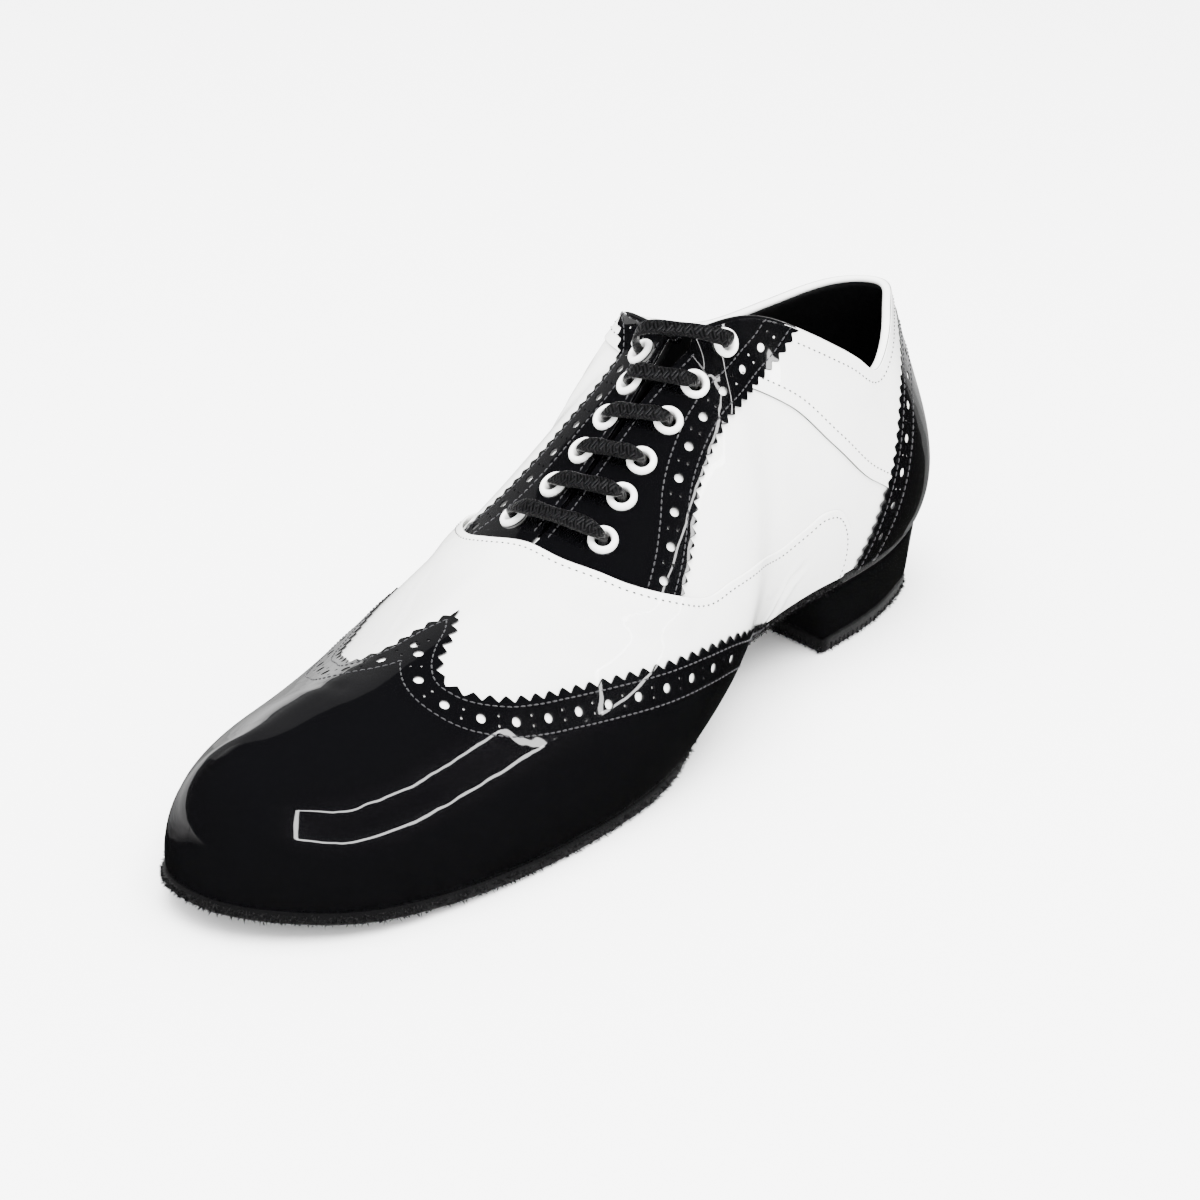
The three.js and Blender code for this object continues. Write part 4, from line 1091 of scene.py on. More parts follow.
class ShoeSizes(bpy.types.PropertyGroup):
    """Sizes of the trim."""

    wing_tooth_pitch: bpy.props.FloatProperty(
        name="Wing tooth pitch", description="Tip to tip along the wing's pinked edge",
        default=0.0044, min=0.002, unit="LENGTH")
    facing_tooth_pitch: bpy.props.FloatProperty(
        name="Facing tooth pitch", description="Tip to tip along the facings' and counter's edges",
        default=0.0035, min=0.002, unit="LENGTH")
    tooth_depth: bpy.props.FloatProperty(
        name="Tooth depth", description="From tip to valley of the wing's teeth",
        default=0.0019, min=0.0005, unit="LENGTH")
    outer_row: bpy.props.FloatProperty(
        name="Outer stitch row", description="From the tooth tips to the first row of stitches",
        default=0.0029, min=0.001, unit="LENGTH")
    punch_row: bpy.props.FloatProperty(
        name="Punch row", description="From the tooth tips to the middle of the punched holes",
        default=0.0068, min=0.002, unit="LENGTH")
    inner_row: bpy.props.FloatProperty(
        name="Inner stitch row", description="From the tooth tips to the second row of stitches",
        default=0.0108, min=0.003, unit="LENGTH")
    punch_gap: bpy.props.FloatProperty(
        name="Punch gap", description="Between the middles of the large punched holes",
        default=0.010, min=0.005, unit="LENGTH")
    punch_radius: bpy.props.FloatProperty(
        name="Punch radius", description="Radius of the large punched holes",
        default=0.00125, min=0.0005, unit="LENGTH")
    pin_radius: bpy.props.FloatProperty(
        name="Pinhole radius", description="Radius of the paired pinholes",
        default=0.00035, min=0.0002, unit="LENGTH")
    stitch_pitch: bpy.props.FloatProperty(
        name="Stitch pitch", description="From one stitch to the next",
        default=0.002, min=0.001, unit="LENGTH")
    stitch_length: bpy.props.FloatProperty(
        name="Stitch length", description="Length of the thread that shows on the black leather",
        default=0.0016, min=0.0005, unit="LENGTH")
    dot_length: bpy.props.FloatProperty(
        name="Stitch dot length", description="Length of the sunken stitch that shows on the white leather",
        default=0.0009, min=0.0003, unit="LENGTH")
    thread_width: bpy.props.FloatProperty(
        name="Thread width", description="Width of the sewing thread",
        default=0.00045, min=0.0001, unit="LENGTH")
    edge_radius: bpy.props.FloatProperty(
        name="Edge radius", description="Rounding of the leather's cut edges",
        default=0.00022, min=0.00005, unit="LENGTH")
    fold_radius: bpy.props.FloatProperty(
        name="Fold radius", description="Rounding of the leather's folded edges",
        default=0.00045, min=0.00005, unit="LENGTH")


class ShoeColours(bpy.types.PropertyGroup):
    """Colours of the leathers and the trim."""

    white_patent: bpy.props.FloatVectorProperty(
        name="White patent", description="Colour of the white patent leather",
        default=linear("#f3f3f1")[:3], subtype="COLOR", min=0, max=1)
    black_patent: bpy.props.FloatVectorProperty(
        name="Black patent", description="Colour of the black patent leather",
        default=linear("#040405")[:3], subtype="COLOR", min=0, max=1)
    lining: bpy.props.FloatVectorProperty(
        name="Lining", description="Colour of the lining, the tongue and the sock",
        default=linear("#060607")[:3], subtype="COLOR", min=0, max=1)
    lace: bpy.props.FloatVectorProperty(
        name="Lace", description="Colour of the braided lace",
        default=linear("#101011")[:3], subtype="COLOR", min=0, max=1)
    enamel: bpy.props.FloatVectorProperty(
        name="Eyelet enamel", description="Colour of the eyelets",
        default=linear("#f4f4f2")[:3], subtype="COLOR", min=0, max=1)
    suede: bpy.props.FloatVectorProperty(
        name="Suede", description="Colour of the sole and the top-lift",
        default=linear("#070708")[:3], subtype="COLOR", min=0, max=1)


class StageSettings(bpy.types.PropertyGroup):
    """Light and floor of the studio."""

    light_power: bpy.props.FloatProperty(
        name="Light power", description="Power of the large soft light overhead",
        default=150.0, min=0, unit="POWER")
    window_power: bpy.props.FloatProperty(
        name="Window power", description="Power of each square metre of the lit window frame",
        default=70.0, min=0)
    backdrop: bpy.props.FloatVectorProperty(
        name="Backdrop", description="Colour of the floor and the backdrop",
        default=linear("#ffffff")[:3], subtype="COLOR", min=0, max=1)


def millimetres(length):
    return length / MM


# From the middle of the punched row to each of a pair of pinholes
PIN_OFFSET = 1.35
# Between these heights on the skin a punched hole is clear of the feather line and the topline
HOLES_START = 0.02
HOLES_END = 0.985
# Holes in the leather that the eyelets' shanks pass through
EYELET_HOLE_RADIUS = 3.05


def punched_row(edge, sizes):
    """Large holes at one gap in a row inside the edge, with two pinholes across between them."""
    radius = millimetres(sizes.punch_radius + sizes.edge_radius)
    pin_radius = millimetres(sizes.pin_radius + sizes.edge_radius)
    holes = []
    for line in inner_lines(edge, millimetres(sizes.punch_row)):
        points = even(line, millimetres(sizes.punch_gap) / 2, whole=False)
        run = unit(np.gradient(points, axis=0))
        place, v = locate(points)
        across = unit(np.cross(skin_normal(place, v), run))
        seats = skin(place, v)
        for number, (seat, aside) in enumerate(zip(seats, across)):
            if number % 2 == 0:
                holes.append(disc(seat, radius, 14))
            else:
                holes.append(disc(seat + aside * PIN_OFFSET, pin_radius, 8))
                holes.append(disc(seat - aside * PIN_OFFSET, pin_radius, 8))
    return holes


def stitch_rows(edge, sizes):
    """The two rows of stitches inside a pinked edge."""
    return inner_lines(edge, millimetres(sizes.outer_row)) + inner_lines(edge, millimetres(sizes.inner_row))


def wing_edge():
    """The wing's pinked edge, from the outer tail over the peak to the inner tail."""
    outer = np.concatenate([from_side(WING_TAIL_LATERAL[::-1], -1), from_plan(WING_PEAK_OUTER)])
    over_tip = from_plan(WING_PEAK_OUTER[-1:] + WING_PEAK_INNER)
    inner = np.concatenate([over_tip, from_side(WING_TAIL_MEDIAL, 1)])
    return [stretch(outer, -1), stretch(inner, -1)]


# How finely outlines follow the skin's border lines, and how near a cut run may come to them
POINTS_PER_ROW = 14
TOE_SEAM_POINTS = 70
LOWEST_CUT = 0.006


def feather_line(start, end):
    """Places along the feather line, v 0, between two places."""
    places = np.linspace(start, end, max(2, int(abs(end - start) * POINTS_PER_ROW)))
    return places, np.zeros(len(places))


def joined(*parts):
    """One outline from several runs of places."""
    return np.concatenate([part[0] for part in parts]), np.concatenate([part[1] for part in parts])


def trimmed(place, v):
    """Drops the points of a run that lie on or under the feather line."""
    kept = v > LOWEST_CUT
    return place[kept], v[kept]


def toe_seam():
    """Down the toe's middle from one feather line to the other, over the crest's start."""
    u = np.linspace(2, 0, TOE_SEAM_POINTS)
    return np.where(u > 1, ROUND - 1e-9, 0.0), np.where(u > 1, 2 - u, u)


def cut_gap(side):
    """Run of places along the gap's edge on one side, from its front end up to the topline."""
    rows = np.array(GAP_ROWS)
    along = np.linspace(rows[0, 0], rows[-1, 0], 130)
    half = np.interp(-along, -rows[:, 0], rows[:, 1])
    points = np.stack([LACE_LINE + side * half * HALF_BALL, y_at(along)], -1)
    chosen = (COARSE_V > 0.6) & ((COARSE_PLACE < LAST_ROW) == (side < 0))
    place, v = settle(points, [0, 1], *nearest_places(points, [0, 1], chosen))
    miss = np.linalg.norm(skin(place, v)[:, :2] - points, axis=1)
    end = np.flatnonzero((v > 0.999) & (miss > 0.05) & (along < 0.45))
    count = end[0] if len(end) else len(along)
    return np.append(place[:count], place[count - 1]), np.append(v[:count], 1.0)


def straight(start, end, count):
    """Places on a straight run between two places."""
    share = np.linspace(0, 1, count)
    return tuple(a + (b - a) * share for a, b in zip(start, end))


def ends_on_top(run):
    """The same run with its first point on the topline."""
    place, v = run
    v = v.copy()
    v[0] = 1.0
    return place, v


def facing_edge(rows, side):
    return [stretch(from_side(rows, side), -side)]


def eyelet_seats():
    """Skin points and normals under the eyelets."""
    seats = {}
    for side, rows in EYELETS.items():
        points = from_plan(rows)
        seats[side] = (points, skin_normal(*locate(points)))
    return seats


def merged(first, second):
    """Two sheets welded along their shared border."""
    place = np.concatenate([first[0], second[0]])
    v = np.concatenate([first[1], second[1]])
    faces = np.concatenate([first[2], second[2] + len(first[0])])
    points = skin(place, v)
    _, kept, home = np.unique(np.round(points, 3), axis=0, return_index=True, return_inverse=True)
    return unfolded(place[kept], v[kept], home.ravel()[faces])


class SHOE_OT_upper(bpy.types.Operator):
    """White quarters over a black lining: one shell with eyelet holes and an open throat."""

    bl_idname = "shoe.upper"
    bl_label = "Quarters and lining"

    def execute(self, context):
        made = finishes(context)
        split = 6.0
        across = np.linspace(0, 1, 60)
        outer_split = (np.full(60, split), across)
        inner_split = (np.full(60, ROUND - split), across[::-1])
        front_outline = joined(
            feather_line(0.02, split - 0.02), (outer_split[0][:-1], outer_split[1][:-1]),
            inner_split, feather_line(ROUND - split + 0.02, ROUND - 0.02), toe_seam())
        front = cut_sheet(front_outline, [], True, 3.0)
        outer_gap = cut_gap(-1)
        inner_gap = cut_gap(1)
        front_row = row_from_tip(inner_gap[0][:1])[0]
        top_back = np.linspace(inner_gap[0][-1], outer_gap[0][-1], 260)[1:-1]
        crest_rows = np.linspace(split, front_row, 12)[1:]
        outline = joined(
            feather_line(split, ROUND - split), (inner_split[0], across),
            (ROUND - crest_rows, np.ones(11)), inner_gap, (top_back, np.ones(len(top_back))),
            (outer_gap[0][::-1], outer_gap[1][::-1]), (crest_rows[::-1], np.ones(11)),
            (outer_split[0], across[::-1]))
        holes = []
        for points, _ in eyelet_seats().values():
            holes += [disc(point, EYELET_HOLE_RADIUS, 20) for point in points]
        back = cut_sheet(outline, holes, False, 2.4)
        add_panel(
            context, "upper_leather", merged(front, back), -UPPER_WALL, 0.0, 0.15,
            [made["white"], made["lining"]], ["upper"])
        return {"FINISHED"}


class SHOE_OT_vamp(bpy.types.Operator):
    """White vamp: runs from under the wing over the facings' front ends, with a folded back edge."""

    bl_idname = "shoe.vamp"
    bl_label = "Vamp"

    def execute(self, context):
        sizes = context.scene.shoe_sizes
        made = finishes(context)
        throat = from_above(THROAT)
        points = np.concatenate([
            from_side(VAMP_SIDE_LATERAL[::-1], -1), throat, from_side(VAMP_SIDE_MEDIAL, 1)])
        edge = [stretch(points, -1)]
        place, v = trimmed(*locate(edge[0]["points"][::2]))
        front = 3.0
        outline = joined(
            (place, v), feather_line(place[-1], ROUND - front),
            straight((ROUND - front, 0.01), (ROUND - front, 1.0), 50),
            straight((front, 0.98), (front, 0.01), 50), feather_line(front, place[0]))
        over_facings = smooth_path(throat, 1.0)

        def lifted(points):
            gap, _ = distance_to_line(points, over_facings)
            return VAMP_TOP + FACING_TOP * (1 - smoothstep((gap - 5.0) / 9.0))

        def foot(points):
            return lifted(points) - VAMP_TOP + 0.05

        sheet = cut_sheet(outline, [], True)
        add_panel(
            context, "vamp_leather", sheet, foot, lifted, millimetres(sizes.fold_radius),
            [made["white"]], ["upper"])
        lines = inner_lines(edge, 1.7)
        add_stitches(
            context, "vamp_stitching", lines, made["sunk_stitch_painted_shade"], sizes.dot_length,
            sizes, lifted)
        return {"FINISHED"}


class SHOE_OT_wing_cap(bpy.types.Operator):
    """Black wing toe cap, pinked, punched and stitched."""

    bl_idname = "shoe.wing_cap"
    bl_label = "Wing toe cap"

    def execute(self, context):
        sizes = context.scene.shoe_sizes
        made = finishes(context)
        edge = wing_edge()
        teeth = np.concatenate([
            toothed(part, millimetres(sizes.wing_tooth_pitch), millimetres(sizes.tooth_depth)) for part in edge])
        place, v = trimmed(*locate(teeth))
        outline = joined(
            (place, v), feather_line(place[-1], ROUND - 0.02), toe_seam(), feather_line(0.02, place[0]))
        holes = [hole for hole in punched_row(edge, sizes) if hole[1].min() > HOLES_START]
        sheet = cut_sheet(outline, holes, True)
        add_panel(
            context, "wing_cap_leather", sheet, WING_FOOT, WING_TOP, millimetres(sizes.edge_radius),
            [made["black"]], ["wing_cap"])
        add_stitches(
            context, "wing_cap_stitching", stitch_rows(edge, sizes), made["dark_thread_painted_glint"],
            sizes.stitch_length, sizes, WING_TOP)
        return {"FINISHED"}


class SHOE_OT_collar(bpy.types.Operator):
    """White collar panel round the heel, with a folded and stitched lower seam."""

    bl_idname = "shoe.collar"
    bl_label = "Collar panel"

    def execute(self, context):
        sizes = context.scene.shoe_sizes
        made = finishes(context)
        inner = from_side(COLLAR_SEAM[1:], 1)
        outer = from_side(COLLAR_SEAM[::-1], -1)
        behind = skin(*straight((22.0, 0.33), (16.0, 0.33), 5))
        edge = [stretch(np.concatenate([inner, behind, outer]), 1)]
        place, v = locate(edge[0]["points"][::2])
        inner_start = locate(from_side(FACING_MEDIAL[:1], 1))[0][0] + 0.4
        outer_start = locate(from_side(FACING_LATERAL[:1], -1))[0][0] - 0.4
        top = np.linspace(outer_start, inner_start, 220)
        outline = joined(
            (place, v), straight((place[-1], v[-1] + 0.01), (outer_start, 1.0), 10),
            (top[1:-1], np.ones(218)), straight((inner_start, 1.0), (place[0], v[0] + 0.01), 10))
        sheet = cut_sheet(outline, [], False)
        # Painted shadow: the lower half of the fold's round edge and its wall take the black lining, a dark line
        # under the white fold.
        add_panel(
            context, "collar_leather", sheet, 0.03, COLLAR_TOP, millimetres(sizes.fold_radius),
            [made["white"], made["lining"]], ["upper"])
        top_line = stretch(top_point(np.linspace(inner_start - 0.5, outer_start + 0.5, 60)), -1)
        lines = inner_lines(edge, 3.4) + inner_lines([top_line], 3.3)
        add_stitches(
            context, "collar_stitching", lines, made["sunk_stitch_painted_shade"], sizes.dot_length,
            sizes, COLLAR_TOP)
        return {"FINISHED"}


class SHOE_OT_facings(bpy.types.Operator):
    """Black facings, pinked and punched along their outer edges, with holes for the eyelets."""

    bl_idname = "shoe.facings"
    bl_label = "Facings"

    def execute(self, context):
        sizes = context.scene.shoe_sizes
        made = finishes(context)
        seats = eyelet_seats()
        pitch = millimetres(sizes.facing_tooth_pitch)
        depth = millimetres(sizes.tooth_depth) * 0.85
        lines = []
        for side, name, rows, front in (
            (1, "medial", FACING_MEDIAL, FACING_FRONT_MEDIAL),
            (-1, "lateral", FACING_LATERAL, FACING_FRONT_LATERAL),
        ):
            edge = facing_edge(rows, side)
            place, v = ends_on_top(locate(toothed(edge[0], pitch, depth)))
            front_run = locate(smooth_path(from_above(front), 1.0))
            gap = cut_gap(side)
            top = np.linspace(gap[0][-1], place[0], 60)[1:-1]
            outline = joined((place, v), front_run, gap, (top, np.ones(58)))
            holes = [hole for hole in punched_row(edge, sizes) if hole[1].max() < HOLES_END]
            holes += [disc(point, EYELET_HOLE_RADIUS, 24) for point in seats[name][0]]
            sheet = cut_sheet(outline, holes, False)
            add_panel(
                context, f"facing_{name}_leather", sheet, 0.05, FACING_TOP, millimetres(sizes.edge_radius),
                [made["black"]], [f"facing_{name}"])
            lines += stitch_rows(edge, sizes)
            gap_edge = [stretch(skin(gap[0][2:-2:4], gap[1][2:-2:4]), -side)]
            lines += inner_lines(gap_edge, 1.8)
        add_stitches(
            context, "facing_stitching", lines, made["dark_thread_painted_glint"],
            sizes.stitch_length, sizes, FACING_TOP)
        return {"FINISHED"}


class SHOE_OT_counter(bpy.types.Operator):
    """Black heel counter, pinked, punched and stitched."""

    bl_idname = "shoe.counter"
    bl_label = "Counter"

    def execute(self, context):
        sizes = context.scene.shoe_sizes
        made = finishes(context)
        inner = stretch(from_side(COUNTER_FRONT, 1), 1)
        outer = stretch(from_side(COUNTER_FRONT[::-1], -1), 1)
        pitch = millimetres(sizes.facing_tooth_pitch)
        depth = millimetres(sizes.tooth_depth) * 0.85
        inner_run = trimmed(*locate(toothed(inner, pitch, depth)))
        outer_run = trimmed(*locate(toothed(outer, pitch, depth)))
        across = straight(
            (outer_run[0][-1], outer_run[1][-1]), (inner_run[0][0], inner_run[1][0]), 16)
        outline = joined(
            inner_run, feather_line(inner_run[0][-1], outer_run[0][0]), outer_run,
            (across[0][1:-1], across[1][1:-1]))
        edge = [inner, outer]
        holes = [hole for hole in punched_row(edge, sizes) if hole[1].min() > HOLES_START]
        sheet = cut_sheet(outline, holes, False)
        add_panel(
            context, "counter_leather", sheet, 0.05, FACING_TOP, millimetres(sizes.edge_radius),
            [made["black"]], ["counter"])
        add_stitches(
            context, "counter_stitching", stitch_rows(edge, sizes), made["dark_thread_painted_glint"],
            sizes.stitch_length, sizes, FACING_TOP)
        return {"FINISHED"}


def add_bead(context, name, first, last, material, count):
    """A folded edge over the topline between two places."""
    places = np.linspace(first, last, count)
    ones = np.ones(count)
    normal = skin_normal(places, ones)
    out = unit(np.stack([normal[:, 0], normal[:, 1], np.zeros(count)], -1))
    centre = top_point(places) - out * 0.72
    centre[:, 2] -= 0.25
    turn = np.linspace(0, 2 * np.pi, 15)
    half_width = 1.38
    half_height = 1.05
    points = (
        centre[:, None] + out[:, None] * (np.cos(turn) * half_width)[None, :, None]
        + np.array([0, 0, 1.0]) * (np.sin(turn) * half_height)[None, :, None])
    mesh = grid_mesh(name, points, tube=True)
    return add_piece(context, mesh, name, [material], ["upper"])


class SHOE_OT_topline(bpy.types.Operator):
    """Folded edges over the topline: white round the heel, black on the facings."""

    bl_idname = "shoe.topline"
    bl_label = "Topline"

    def execute(self, context):
        made = finishes(context)
        inner_start, _ = locate(from_side(FACING_MEDIAL[:1], 1))
        outer_start, _ = locate(from_side(FACING_LATERAL[:1], -1))
        inner_end = cut_gap(1)[0][-1]
        outer_end = cut_gap(-1)[0][-1]
        for name, first, last, finish, count in (
            ("white", outer_start[0], inner_start[0], "white", 320),
            ("medial", inner_start[0], inner_end, "black", 60),
            ("lateral", outer_end, outer_start[0], "black", 60),
        ):
            add_bead(context, f"topline_{name}", first, last, made[finish], count)
        return {"FINISHED"}


# Half of an eyelet cut through its middle: radius, height above the skin
EYELET_PROFILE = [
    (2.35, -2.3), (2.35, 1.75), (2.42, 2.05), (2.62, 2.3), (2.95, 2.42), (3.35, 2.4), (3.72, 2.22),
    (4.0, 1.9), (4.16, 1.5), (4.2, 1.15), (4.1, 1.02), (2.75, 1.02), (2.75, -2.3),
]


class SHOE_OT_eyelets(bpy.types.Operator):
    """Twelve white enamelled eyelets, spun about their own axes."""

    bl_idname = "shoe.eyelets"
    bl_label = "Eyelets"

    def execute(self, context):
        made = finishes(context)
        for side, (points, normals) in eyelet_seats().items():
            for row, (point, normal) in enumerate(zip(points, normals), 1):
                bm = bmesh.new()
                corners = [bm.verts.new((radius * MM, 0, height * MM)) for radius, height in EYELET_PROFILE]
                edges = [bm.edges.new(pair) for pair in zip(corners, corners[1:] + corners[:1])]
                bmesh.ops.spin(
                    bm, geom=corners + edges, cent=(0, 0, 0), axis=(0, 0, 1), angle=2 * math.pi,
                    steps=36, use_merge=True)
                bmesh.ops.recalc_face_normals(bm, faces=bm.faces)
                turn = Vector((0, 0, 1)).rotation_difference(Vector(normal)).to_matrix()
                bmesh.ops.rotate(bm, verts=bm.verts, cent=(0, 0, 0), matrix=turn)
                bmesh.ops.translate(bm, verts=bm.verts, vec=Vector(point) * MM)
                name = f"eyelet_ring_{side}_{row}"
                mesh = to_mesh(bm, name)
                add_piece(context, mesh, name, [made["enamel"]], [f"eyelet_{side}_{row}"])
        return {"FINISHED"}


def lace_sections():
    """The lace's cross-sections in order: middles, directions of the width, half widths and thicknesses."""
    seats = eyelet_seats()
    sections = []

    def seat_of(side, row):
        points, normals = seats[side]
        return points[row - 1], normals[row - 1]

    def towards_toe(side, row):
        first = min(row, len(EYELETS[side]) - 1)
        return seat_of(side, first + 1)[0] - seat_of(side, first)[0]

    def level(direction, normal):
        return unit(direction - normal * direction.dot(normal))

    def add(seat, shifts, across, half, thick):
        middle = seat[0] + sum(direction * amount for direction, amount in shifts)
        sections.append((middle, across, half, thick))

    def hidden(side, row, lengthwise, aside):
        seat = seat_of(side, row)
        sign = 1 if side == "medial" else -1
        toe = level(towards_toe(side, row), seat[1])
        out = np.cross(seat[1], toe) * sign
        add(
            seat, [(toe, lengthwise), (out, aside * LACE_PASS), (seat[1], -LACE_INSIDE)], out * sign,
            LACE_HIDDEN_HALF, LACE_THICKNESS / 2)

    def bore(side, row, off):
        seat = seat_of(side, row)
        toe = level(towards_toe(side, row), seat[1])
        add(seat, [(seat[1], off)], np.cross(seat[1], toe), LACE_ROUND_RADIUS, LACE_ROUND_RADIUS)

    def turn_out(seat, span, side, row, lift):
        away = level(span, seat[1])
        across = level(towards_toe(side, row), seat[1])
        return [
            (seat, [(away, step), (seat[1], off + lift * step / LACE_PASS)], across, half, thick)
            for step, off, half, thick in LACE_TURNS]

    for number, (row, start_side, aside, arch, lift) in enumerate(LACE_BARS):
        end_side = "lateral" if start_side == "medial" else "medial"
        start = seat_of(start_side, row)
        end = seat_of(end_side, row)
        span = end[0] - start[0]
        bore(start_side, row, -LACE_INSIDE if number == 0 else -LACE_TURN)
        for values in turn_out(start, span, start_side, row, lift):
            add(*values)
        middle = ((start[0] + end[0]) / 2, unit(start[1] + end[1]))
        add(
            middle, [(middle[1], LACE_OVER + arch)], level(towards_toe(end_side, row), middle[1]),
            LACE_WIDTH / 2, LACE_THICKNESS / 2)
        for values in turn_out(end, -span, end_side, row, lift)[::-1]:
            add(*values)
        bore(end_side, row, -LACE_TURN)
        if number + 1 == len(LACE_BARS):
            hidden(end_side, row, -LACE_TURN, 0)
            hidden(end_side, row - 1, LACE_PASS, aside)
            break
        next_row = LACE_BARS[number + 1][0]
        heading = 1 if next_row > row else -1
        hidden(end_side, row, heading * LACE_TURN, 0)
        if aside != 0:
            hidden(end_side, row + heading, 0, aside)
        hidden(end_side, next_row, -heading * LACE_TURN, 0)
    return sections


def lace_path(knots, gap):
    """Finer sections between the lace's knots: the length run and a row of middle, direction of the
    width, half width and half thickness at each."""
    middles = np.array([knot[0] for knot in knots])
    chords = np.linalg.norm(np.diff(middles, axis=0), axis=1)
    values = np.column_stack([middles, [knot[1] for knot in knots], [knot[2:] for knot in knots]])
    length = np.cumsum(chords)[-1]
    fine = np.linspace(0, length, int(length / gap))
    return fine, through(values, chords, fine)


LACE_STEP = 0.55
LACE_SIDES = 20
# Below 1 the tube's faces are nearly flat and its edges stay round
LACE_FLATNESS = 0.7


class SHOE_OT_lace(bpy.types.Operator):
    """The flat braided lace, in six straight bars through the eyelets."""

    bl_idname = "shoe.lace"
    bl_label = "Lace"

    def execute(self, context):
        made = finishes(context)
        at, path = lace_path(lace_sections(), LACE_STEP)
        middles, wide, half, thick = path[:, :3], path[:, 3:6], path[:, 6:7], path[:, 7:8]
        run = unit(np.gradient(middles, axis=0))
        wide = unit(wide - run * (wide * run).sum(1)[:, None])
        deep = np.cross(run, wide)
        turn = np.linspace(0, 2 * np.pi, LACE_SIDES + 1)
        side = np.sign(np.cos(turn)) * np.abs(np.cos(turn)) ** LACE_FLATNESS
        rise = np.sign(np.sin(turn)) * np.abs(np.sin(turn)) ** LACE_FLATNESS
        points = (
            middles[:, None] + wide[:, None] * (half * side[None])[..., None]
            + deep[:, None] * (thick * rise[None])[..., None])
        girth = 2 * (LACE_WIDTH + LACE_THICKNESS) * 0.9
        uv = [[(s * MM, t * girth * MM) for t in np.linspace(0, 1, LACE_SIDES + 1)] for s in at]
        mesh = grid_mesh("lace_braid", points, tube=True, uv=uv)
        add_piece(context, mesh, "lace_braid", [made["lace"]], ["lace"])
        return {"FINISHED"}


# The tongue, in metres: its grid, the margin at its borders, its thickness and rounding, and the
# distance of its two rows of stitches from the lacing line
TONGUE_ROWS = 61
TONGUE_COLUMNS = 29
TONGUE_MARGIN = 0.0003
TONGUE_THICKNESS = 0.0017
TONGUE_ROUNDING = 0.0004
TONGUE_STITCHES = 0.0016


def tongue_top():
    """A smoothed grid of points on the top side of the frame's tongue."""
    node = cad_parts["tongue"]
    tree = BVHTree.FromPolygons(
        [corner.co[:] for corner in node.data.vertices],
        [list(face.vertices) for face in node.data.polygons])
    low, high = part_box("tongue")
    points = np.zeros((TONGUE_ROWS, TONGUE_COLUMNS, 3))
    along = np.linspace(low.y + TONGUE_MARGIN, high.y - TONGUE_MARGIN, TONGUE_ROWS)
    across = np.linspace(low.x + TONGUE_MARGIN, high.x - TONGUE_MARGIN, TONGUE_COLUMNS)
    for row, y in enumerate(along):
        for column, x in enumerate(across):
            hit = tree.ray_cast(Vector((x, y, high.z + 0.01)), Vector((0, 0, -1)))[0]
            points[row, column] = (x, y, hit.z if hit else np.nan)
    height = points[..., 2]
    for row in range(TONGUE_ROWS):
        known = ~np.isnan(height[row])
        height[row] = np.interp(np.arange(TONGUE_COLUMNS), np.flatnonzero(known), height[row][known])
    for _ in range(6):
        inner = height[1:-1, 1:-1]
        around = height[:-2, 1:-1] + height[2:, 1:-1] + height[1:-1, :-2] + height[1:-1, 2:]
        height[1:-1, 1:-1] = inner * 0.5 + around * 0.125
    return points


class SHOE_OT_tongue(bpy.types.Operator):
    """Soft black tongue under the facings, with two rows of stitching down its middle."""

    bl_idname = "shoe.tongue"
    bl_label = "Tongue"

    def execute(self, context):
        made = finishes(context)
        sizes = context.scene.shoe_sizes
        points = tongue_top()
        mesh = grid_mesh("tongue_leather", points / MM)
        if mesh.polygons[len(mesh.polygons) // 2].normal.z < 0:
            mesh.flip_normals()
        piece = add_piece(context, mesh, "tongue_leather", [made["tongue"]], ["tongue"])
        wall = piece.modifiers.new("thickness", "SOLIDIFY")
        wall.thickness = TONGUE_THICKNESS
        wall.offset = -1
        edge = piece.modifiers.new("edge", "BEVEL")
        edge.width = TONGUE_ROUNDING
        edge.segments = 2
        edge.limit_method = "ANGLE"
        normal = unit(np.cross(np.gradient(points, axis=1), np.gradient(points, axis=0)))
        runs = []
        for aside in (-TONGUE_STITCHES, TONGUE_STITCHES):
            away = np.abs(points[TONGUE_ROWS // 2, :, 0] - LACE_LINE * MM - aside)
            column = int(np.argmin(away))
            at = points[:, column, 1]
            stops = np.arange(at[0], at[-1], sizes.stitch_pitch)
            seats = np.stack([np.interp(stops, at, points[:, column, axis]) for axis in range(3)], -1)
            ups = np.stack([np.interp(stops, at, normal[:, column, axis]) for axis in range(3)], -1)
            runs.append((seats / MM, unit(ups)))
        add_threads(
            context, "tongue_stitching", runs, made["dark_thread_painted_glint"], sizes.stitch_length,
            sizes)
        return {"FINISHED"}


SLAB_ROWS = 150
SLAB_COLUMNS = 15


def slab_points(edge, beyond, height):
    """A level of the sole as a grid: rows from the toe's tip to the heel's back, columns across. Its
    border lies beyond an edge, itself a function of the place."""
    places = LAST_ROW * 0.5 * (1 - np.cos(np.linspace(0, np.pi, SLAB_ROWS)))
    others = ROUND - places
    outer = feather_point(places) + outward(places) * (edge(places) + beyond)[:, None]
    inner = feather_point(others) + outward(others) * (edge(others) + beyond)[:, None]
    share = np.linspace(0, 1, SLAB_COLUMNS)[None, :, None]
    points = outer[:, None] * (1 - share) + inner[:, None] * share
    points[..., 2] = sole_bottom(points[..., 1]) + height
    return points


def ledge(place):
    """How far the sole stands out from the feather line: along the forepart, not round the heel."""
    along = (HEEL_REACH - RING["y"](place)) / LAST_LENGTH
    return SOLE_LEDGE * smoothstep((along - LEDGE_STARTS) / (LEDGE_FULL - LEDGE_STARTS))


